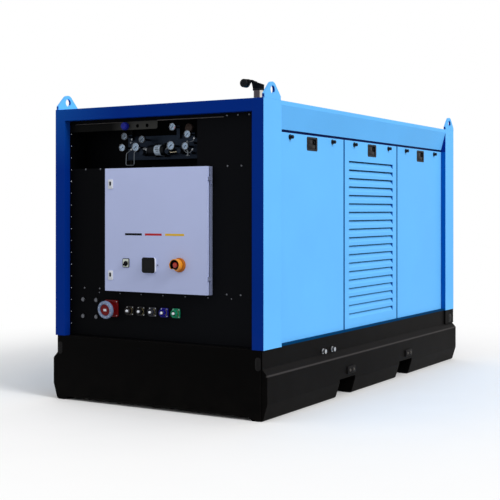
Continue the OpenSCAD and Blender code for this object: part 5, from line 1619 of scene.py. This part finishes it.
class GENERATOR_OT_gas_fittings(GeneratorOperator, bpy.types.Operator):
    """The gas filter, regulator knobs, tubes, unions and valve on the back plate"""
    bl_idname = "generator.gas_fittings"
    bl_label = "Gas fittings"

    tubes = (
        ((0.222, -1.845, 2.114), (0.262, -1.862, 2.112), (0.289, -1.862, 2.119), (0.294, -1.862, 2.136)),
        ((0.168, -1.845, 2.05), (0.2, -1.862, 2.045), (0.222, -1.862, 2.026), (0.256, -1.862, 2.025),
         (0.278, -1.862, 2.049)),
        ((-0.33, -1.85, 2.066), (-0.369, -1.862, 2.034), (-0.375, -1.862, 1.938), (-0.291, -1.862, 1.938),
         (-0.291, -1.862, 2.04), (-0.262, -1.845, 2.066)),
        ((-0.332, -1.85, 2.126), (-0.316, -1.862, 2.147)),
    )

    plane = -1.862             # the tubes' middles, in front of the back plate
    cap_spot = Vector((0.218, -1.792, 2.226))
    knob_spots = ((0.204, 0.056), (0.454, 0.06), (0.57, 0.06))      # from the plate's lower left corner
    label_lines = ((0.03, 0.016), (0.038, 0.004), (0.026, -0.01))   # width, and height above the axis

    def execute(self, context):
        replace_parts(pipe("gas_tubes", self.tubes, 0.0038, 0.014, "tube_steel"),
                    "gas_tubing")
        bridge = ((0.053, -1.866, 2.043), (0.075, -1.868, 2.031), (0.139, -1.866, 2.038))
        pipe("gas_bridge", [bridge], 0.0042, 0.01, "warm_steel")
        self.unions()
        self.filter()
        self.knobs()
        self.valve()
        return {"FINISHED"}

    def unions(self):
        """Hexagon unions where the tubes end."""
        spots = []
        for line in self.tubes:
            for end, before in ((line[0], line[1]), (line[-1], line[-2])):
                way = (Vector(end) - Vector(before)).normalized()
                spots.append((Vector(end) - way * 0.004, way))
        form = Shape()
        form.prism(disc(0.0082, 6), ORIGIN, 0.009, edge=0.0012, steps=1)
        form.turned([(0.0058, 0.008), (0.0058, 0.014), (0.0048, 0.015)], ORIGIN, 14)
        stand("gas_unions", form, spots, "lit_chrome")

    def filter(self):
        low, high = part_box("gas_filter")
        axis, radius, length = middle((low, high)), (high.z - low.z) / 2, high.x - low.x
        waist, lip = radius * 0.97, radius * 0.985
        at = place((low.x, axis.y, axis.z), RIGHT)
        body = Shape()
        body.turned([(0.022, 0), (0.024, 0.002), (0.024, 0.01), (radius * 0.9, 0.012), (waist, 0.016),
                     (radius, 0.022), (radius, 0.06), (waist, 0.062), (waist, 0.146), (radius, 0.148),
                     (radius, 0.164), (radius * 0.95, 0.172), (radius * 0.7, length - 0.006),
                     (0.02, length - 0.002), (0, length)], at, 48)
        for rib in around(at, 20):
            body.slab((0.006, 0.003, 0.001, (0, radius - 0.0016)), rib, 0.03, edge=0.001, base=0.026)
        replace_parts(body.done("filter_body", "gas_black", "black_plastic"), "gas_filter")
        band = Shape()
        band.turned([(waist, 0.0815), (lip, 0.082), (lip, 0.138), (waist, 0.1385), (radius * 0.96, 0.1385),
                     (radius * 0.96, 0.0815)], at, 48, closed=True)
        band.done("filter_band", "label_print", "gauge_white")
        lines = Shape()
        for i, (width, up) in enumerate(self.label_lines):
            skin = axis.y - math.sqrt(radius ** 2 - up ** 2) - 0.0005
            face = place((low.x + 0.11 + 0.004 * i, skin, axis.z + up))
            lines.slab((width, 0.0045, 0.001), face, FILM + 0.0006)
        lines.done("filter_lines", "black_print", "black_plastic")
        chrome = Shape()
        left = place((low.x + 0.002, axis.y, axis.z), LEFT)
        chrome.prism(disc(0.0235, 6), left, 0.016, edge=0.002, steps=1)
        chrome.turned([(0.0195, 0.015), (0.0205, 0.018), (0.0205, 0.03), (0.024, 0.032), (0.024, 0.044),
                       (0.0205, 0.046), (0.016, 0.056), (0.01, 0.06)], left, 32)
        chrome.turned([(0.019, 0), (0.019, 0.01), (0.013, 0.012), (0.013, 0.026)],
                      place((high.x - 0.002, axis.y, axis.z), RIGHT), 28)
        chrome.done("filter_unions", "lit_chrome", "polished_steel")
        strap = Shape()
        for x in (low.x + 0.07, low.x + 0.158):
            for foot, top in ((-radius - 0.012, 0.004 - radius), (radius - 0.004, radius + 0.012)):
                strap.block((x - 0.007, axis.y - 0.002, axis.z + foot), (x + 0.007, high.y, axis.z + top),
                            0.0015)
        strap.done("filter_straps", "gas_black", "black_plastic")

    def knobs(self):
        """Ribbed knobs on the regulators, and the round cap above the right-hand gauges."""
        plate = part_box("gas_back_plate")[0]
        knobs = Shape()
        for across, up in self.knob_spots:
            at = place((plate.x + across, self.plane + 0.007, plate.z + up))
            knobs.prism(lobed(0.0225, 0.0016, 14), at, 0.019, edge=0.003)
            knobs.turned([(0.01, 0.018), (0.01, 0.0225), (0.0085, 0.024)], at, 24)
        knobs.done("regulator_knobs", "gas_black", "black_plastic")
        cap, stem = Shape(), Shape()
        cap.turned([(0.02, 0), (0.024, 0.006), (0.0325, 0.01), (0.034, 0.013), (0.034, 0.034),
                    (0.0325, 0.037), (0.015, 0.039), (0.013, 0.0405)], place(self.cap_spot), 36)
        for rib in around(place(self.cap_spot), 14):
            cap.slab((0.004, 0.003, 0.001, (0, 0.0338)), rib, 0.018, edge=0.0008, base=0.014)
        cap.done("regulator_cap", "brown_moulding", "grey_plastic")
        root = self.cap_spot - Vector((0, 0.006, 0))
        stem.tube([root + DOWN * 0.076, root], 0.009, 14)
        stem.prism(disc(0.0135, 6), place(root + DOWN * 0.048, UP), 0.012, edge=0.0015, steps=1)
        stem.done("regulator_stem", "dull_steel", "steel")

    def valve(self):
        """A needle valve with a cross bar under the right-hand gauge."""
        valve, x, bar = Shape(), 0.236, 2.004
        down = place((x, self.plane, 2.048), DOWN)
        valve.prism(disc(0.0115, 6), down, 0.01, edge=0.0015, steps=1)
        valve.turned([(0.008, 0.009), (0.008, 0.022), (0.0055, 0.024), (0.0055, 0.036), (0.009, 0.037),
                      (0.01, 0.04), (0.01, 0.046), (0.008, 0.049)], down, 22)
        valve.tube([(x - 0.017, self.plane, bar), (x + 0.017, self.plane, bar)], 0.0035, 12)
        valve.done("needle_valve", "tube_steel", "polished_steel")


class GENERATOR_OT_gas_inlet(GeneratorOperator, bpy.types.Operator):
    """The gas inlet: bored coupling and ribbed dust cap"""
    bl_idname = "generator.gas_inlet"
    bl_label = "Gas inlet"

    def execute(self, context):
        at, width, _, depth = seat(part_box("gas_inlet_coupling"))
        at, radius = shifted(at, -0.008, 0, 0), width / 2
        cap = Shape()
        cap.prism(lobed(radius, 0.0016, 22), at, 0.026, edge=0.003, base=depth - 0.036)
        cap.turned([(radius - 0.004, depth - 0.012), (radius - 0.005, depth - 0.003),
                    (radius - 0.009, depth - 0.0005), (radius - 0.014, depth),
                    (radius - 0.017, depth - 0.002)], at, 44)
        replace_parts(cap.done("inlet_cap", "blue_moulding", "cap_blue"), "gas_inlet_coupling")
        coupling = Shape()
        coupling.turned([(0.0135, 0), (0.0145, 0.002), (0.0145, depth - 0.045)], at, 28)
        coupling.prism(disc(0.0225, 6), at, 0.013, edge=0.0015, steps=1, base=depth - 0.049)
        coupling.done("inlet_coupling", "turned_steel", "polished_steel")
        return {"FINISHED"}


class GENERATOR_OT_front_lines(GeneratorOperator, bpy.types.Operator):
    """The rail under the front beam, the panel's lip, a strut in the niche and the plugs' rims"""
    bl_idname = "generator.front_lines"
    bl_label = "Front lip and rail"

    strut_left, strut_right = -0.436, -0.414
    rail_end = 0.62

    def execute(self, context):
        panel_low, panel_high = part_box("connector_panel")
        bracket_low, bracket_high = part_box("gas_inlet_bracket")
        niche_low, niche_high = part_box("gas_niche")
        plane, edge = panel_low.y, bracket_high.z
        blocks = {
            "beam_rail": ("rail_coat", "grey_paint", 0.001,
                          ((bracket_high.x + 0.004, plane - 0.006, edge - 0.004),
                           (self.rail_end, plane - 0.0005, edge + 0.003)),
                          ((panel_low.x + 0.06, bracket_low.y - 0.0035, edge - 0.005),
                           (bracket_low.x + 0.56, bracket_low.y - 0.0003, edge - 0.001))),
            "panel_lips": ("front_coat", "panel_black", 0.001,
                           ((panel_low.x + 0.006, plane - 0.007, panel_low.z + 0.011),
                            (panel_high.x - 0.006, plane - 0.0005, panel_low.z + 0.016))),
            "niche_strut": ("cover_moulding", "panel_black", 0.003,
                            ((self.strut_left, niche_high.y - 0.03, niche_low.z + 0.0065),
                             (self.strut_right, niche_high.y - 0.007, niche_high.z - 0.0065))),
        }
        for name, (coat, slot, rounding, *boxes) in blocks.items():
            shape = Shape()
            for low, high in boxes:
                shape.block(low, high, rounding)
            shape.done(name, coat, slot)
        rims = Shape()
        for low, high in solids_of("blanking_plugs"):
            spot, radius = middle((low, high)), (high.x - low.x) / 2
            rims.turned([(radius * 0.55, -0.0002), (radius * 0.8, -0.0002), (radius * 0.84, 0.001),
                         (radius * 0.8, 0.0018), (radius * 0.6, 0.0018), (radius * 0.55, 0.0008)],
                        place((spot.x, low.y, spot.z)), 28, closed=True)
        rims.done("plug_rims", "dark_zinc", "steel")
        return {"FINISHED"}


class GENERATOR_OT_door_seal(GeneratorOperator, bpy.types.Operator):
    """The rubber seal on the back of the cabinet door, and the door's stiffening fold"""
    bl_idname = "generator.door_seal"
    bl_label = "Door seal"

    def execute(self, context):
        low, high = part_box("cabinet_door")
        left, right = low.x + 0.003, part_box("mounting_plate")[1].x + 0.037
        width, height = right - left, high.z - low.z - 0.006
        at = place(((left + right) / 2, low.y + 0.0292, (low.z + high.z) / 2))
        seal = Shape()
        seal.frame(rectangle(width, height, 0.006), rectangle(width - 0.02, height - 0.02, 0.004), at, 0.0045)
        seal.done("door_seal", "seal_rubber", "black_plastic", "door")
        folds, inner = Shape(), low.y + 0.0042
        for x in (left + 0.1, right - 0.1):
            folds.block((x - 0.015, inner, low.z + 0.06), (x + 0.015, inner + 0.014, high.z - 0.06), 0.003)
        folds.block((left + 0.25, inner, high.z - 0.34), (right - 0.25, inner + 0.012, high.z - 0.12), 0.003)
        folds.done("door_folds", "cabinet_frame_coat", "cabinet_grey", "door")
        return {"FINISHED"}


class GENERATOR_OT_cabinet_inside(GeneratorOperator, bpy.types.Operator):
    """Slotted ducts, rails and plain switchgear on the cabinet's mounting plate"""
    bl_idname = "generator.cabinet_inside"
    bl_label = "Cabinet inside"

    duct_height, duct_depth, fin_pitch = 0.04, 0.05, 0.0125
    duct_rows = (0.06, 0.33, 0.6, 0.84)      # heights above the plate's foot
    rail_rows = (0.195, 0.465, 0.72)

    # width, height, depth, finish and slot, and then each group's rail, start along it and number
    devices = {
        "breaker": (0.0175, 0.084, 0.068, "white_moulding", "gauge_white", (2, -0.36, 12), (2, 0.02, 8)),
        "contactor": (0.045, 0.078, 0.08, "grey_moulding", "grey_plastic", (1, -0.34, 5), (1, 0.08, 4)),
        "terminal": (0.0082, 0.056, 0.046, "duct_grey", "grey_plastic", (0, -0.37, 34), (0, 0.06, 26)),
    }

    def execute(self, context):
        low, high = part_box("mounting_plate")
        width, centre = high.x - low.x - 0.06, (low.x + high.x) / 2
        self.ducts(low, centre, width)
        rails = Shape()
        for rise in self.rail_rows:
            at = place((centre, low.y, low.z + rise))
            rails.slab((width - 0.09, 0.027), at, 0.006)
            for side in (-1, 1):
                rails.slab((width - 0.09, 0.005, 0.0, (0, side * 0.015)), at, 0.0015, base=0.006)
        rails.done("din_rails", "zinc_plate", "steel")
        for kind, values in self.devices.items():
            self.device_row(kind, low, centre, *values)
        places = [(centre + u * (width / 2 + 0.018), low.y, low.z + rise) for u in (-1, 1)
                  for rise in (0.02, 0.445, 0.87)]
        screws("plate_screws", fasteners().panel_screw, facing_all(places, FRONT))
        return {"FINISHED"}

    def ducts(self, low, centre, width):
        """Floors and lids of the ducts, with a comb of fins on each long side."""
        trays, places, tall, deep = Shape(), [], self.duct_height, self.duct_depth
        for rise in self.duct_rows:
            at = place((centre, low.y, low.z + rise))
            trays.slab((width, tall), at, 0.002)
            trays.slab((width, tall + 0.002, 0.001), at, 0.004, edge=0.001, base=deep - 0.004)
            for side in (-1, 1):
                edge = low.z + rise + side * (tall / 2 - 0.001)
                places += row((centre - width / 2 + 0.004, low.y, edge),
                              (centre + width / 2 - 0.004, low.y, edge), int(width / self.fin_pitch))
        trays.done("duct_trays", "duct_grey", "grey_plastic")
        form = Shape()
        form.slab((0.0075, 0.0016), ORIGIN, deep - 0.003)
        stand("duct_fins", form, facing_all(places, FRONT), "duct_grey", roll=0.0)

    def device_row(self, kind, low, centre, wide, tall, deep, finish_name, slot, *groups):
        """A row of breakers, contactors or terminals, with no marks on them."""
        form = Shape()
        body = wide - 0.0006
        form.slab((body, tall, 0.001), ORIGIN, deep * 0.62, edge=0.0012, steps=1)
        form.slab((body, tall * 0.52, 0.001), ORIGIN, deep * 0.4, edge=0.0015, steps=1, base=deep * 0.6)
        form.slab((wide * 0.5, tall * 0.14, 0.001), ORIGIN, 0.006, edge=0.001, steps=1, base=deep - 0.001)
        places = [(centre + start + (i + 0.5) * wide, low.y - 0.006, low.z + self.rail_rows[line])
                  for line, start, count in groups for i in range(count)]
        stand(f"{kind}_row", form, facing_all(places, FRONT), finish_name, roll=0.0)


class GENERATOR_OT_canopy_fasteners(GeneratorOperator, bpy.types.Operator):
    """Screws of the roof and of the rear wall, and the weld beads at the lugs' feet"""
    bl_idname = "generator.canopy_fasteners"
    bl_label = "Canopy fasteners"

    def execute(self, context):
        head = fasteners().panel_screw
        low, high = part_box("roof_panel")
        roof = []
        for x in (0.03 - high.x, high.x - 0.03):
            roof += row((x, low.y + 0.1, low.z + 0.0085), (x, high.y - 0.1, low.z + 0.0085), 15)
        screws("roof_screws", head, facing_all(roof, UP), "canopy_coat")
        back = []
        for low, high in solids_of("rear_panels_plain") + solids_of("rear_panel_louvred"):
            for x in (low.x + 0.028, high.x - 0.028):
                back += row((x, high.y, low.z + 0.06), (x, high.y, high.z - 0.06), 7)
        screws("rear_screws", head * 0.8, facing_all(back, REAR), "dark_zinc")
        beads = []
        for low, high in solids_of("lifting_lugs"):
            inner, outer = (low.x, high.x) if low.x > 0 else (high.x, low.x)
            front, rear, foot = low.y + 0.0005, high.y - 0.0005, low.z + 0.001
            beads.append([(outer, front, foot), (inner, front, foot),
                          (inner, rear, foot), (outer, rear, foot)])
        pipe("lug_welds", beads, 0.0035, 0.004, "canopy_coat")
        return {"FINISHED"}


STEPS = [
    GENERATOR_OT_stage, GENERATOR_OT_coats, GENERATOR_OT_front_screws, GENERATOR_OT_door_stripe,
    GENERATOR_OT_gauges, GENERATOR_OT_power_socket, GENERATOR_OT_connectors, GENERATOR_OT_locks,
    GENERATOR_OT_selector, GENERATOR_OT_control_unit, GENERATOR_OT_stop_button, GENERATOR_OT_louvre_linings,
    GENERATOR_OT_latches, GENERATOR_OT_panel_knobs, GENERATOR_OT_skid_fittings, GENERATOR_OT_rain_cap,
    GENERATOR_OT_gas_fittings, GENERATOR_OT_gas_inlet, GENERATOR_OT_front_lines, GENERATOR_OT_door_seal,
    GENERATOR_OT_cabinet_inside, GENERATOR_OT_canopy_fasteners,
]


class GENERATOR_PT_steps(bpy.types.Panel):
    """Lists the steps of the dressing"""
    bl_idname = "GENERATOR_PT_steps"
    bl_label = "Generator dressing"
    bl_space_type = "VIEW_3D"
    bl_region_type = "UI"
    bl_category = "Generator"

    def draw(self, context):
        for step in STEPS:
            self.layout.operator(step.bl_idname)
        for name, group in GROUPS.items():
            box = self.layout.box()
            for key in group.__annotations__:
                box.prop(getattr(context.scene, name), key)


def register():
    for group in GROUPS.values():
        bpy.utils.register_class(group)
    for name, group in GROUPS.items():
        setattr(bpy.types.Scene, name, PointerProperty(type=group))
    for cls in (*STEPS, GENERATOR_PT_steps):
        bpy.utils.register_class(cls)


def unregister():
    for cls in (GENERATOR_PT_steps, *reversed(STEPS)):
        bpy.utils.unregister_class(cls)
    for name, group in GROUPS.items():
        delattr(bpy.types.Scene, name)
        bpy.utils.unregister_class(group)


def main():
    register()
    for step in STEPS:
        family, name = step.bl_idname.split(".")
        getattr(getattr(bpy.ops, family), name)()


if __name__ == "__main__":
    main()
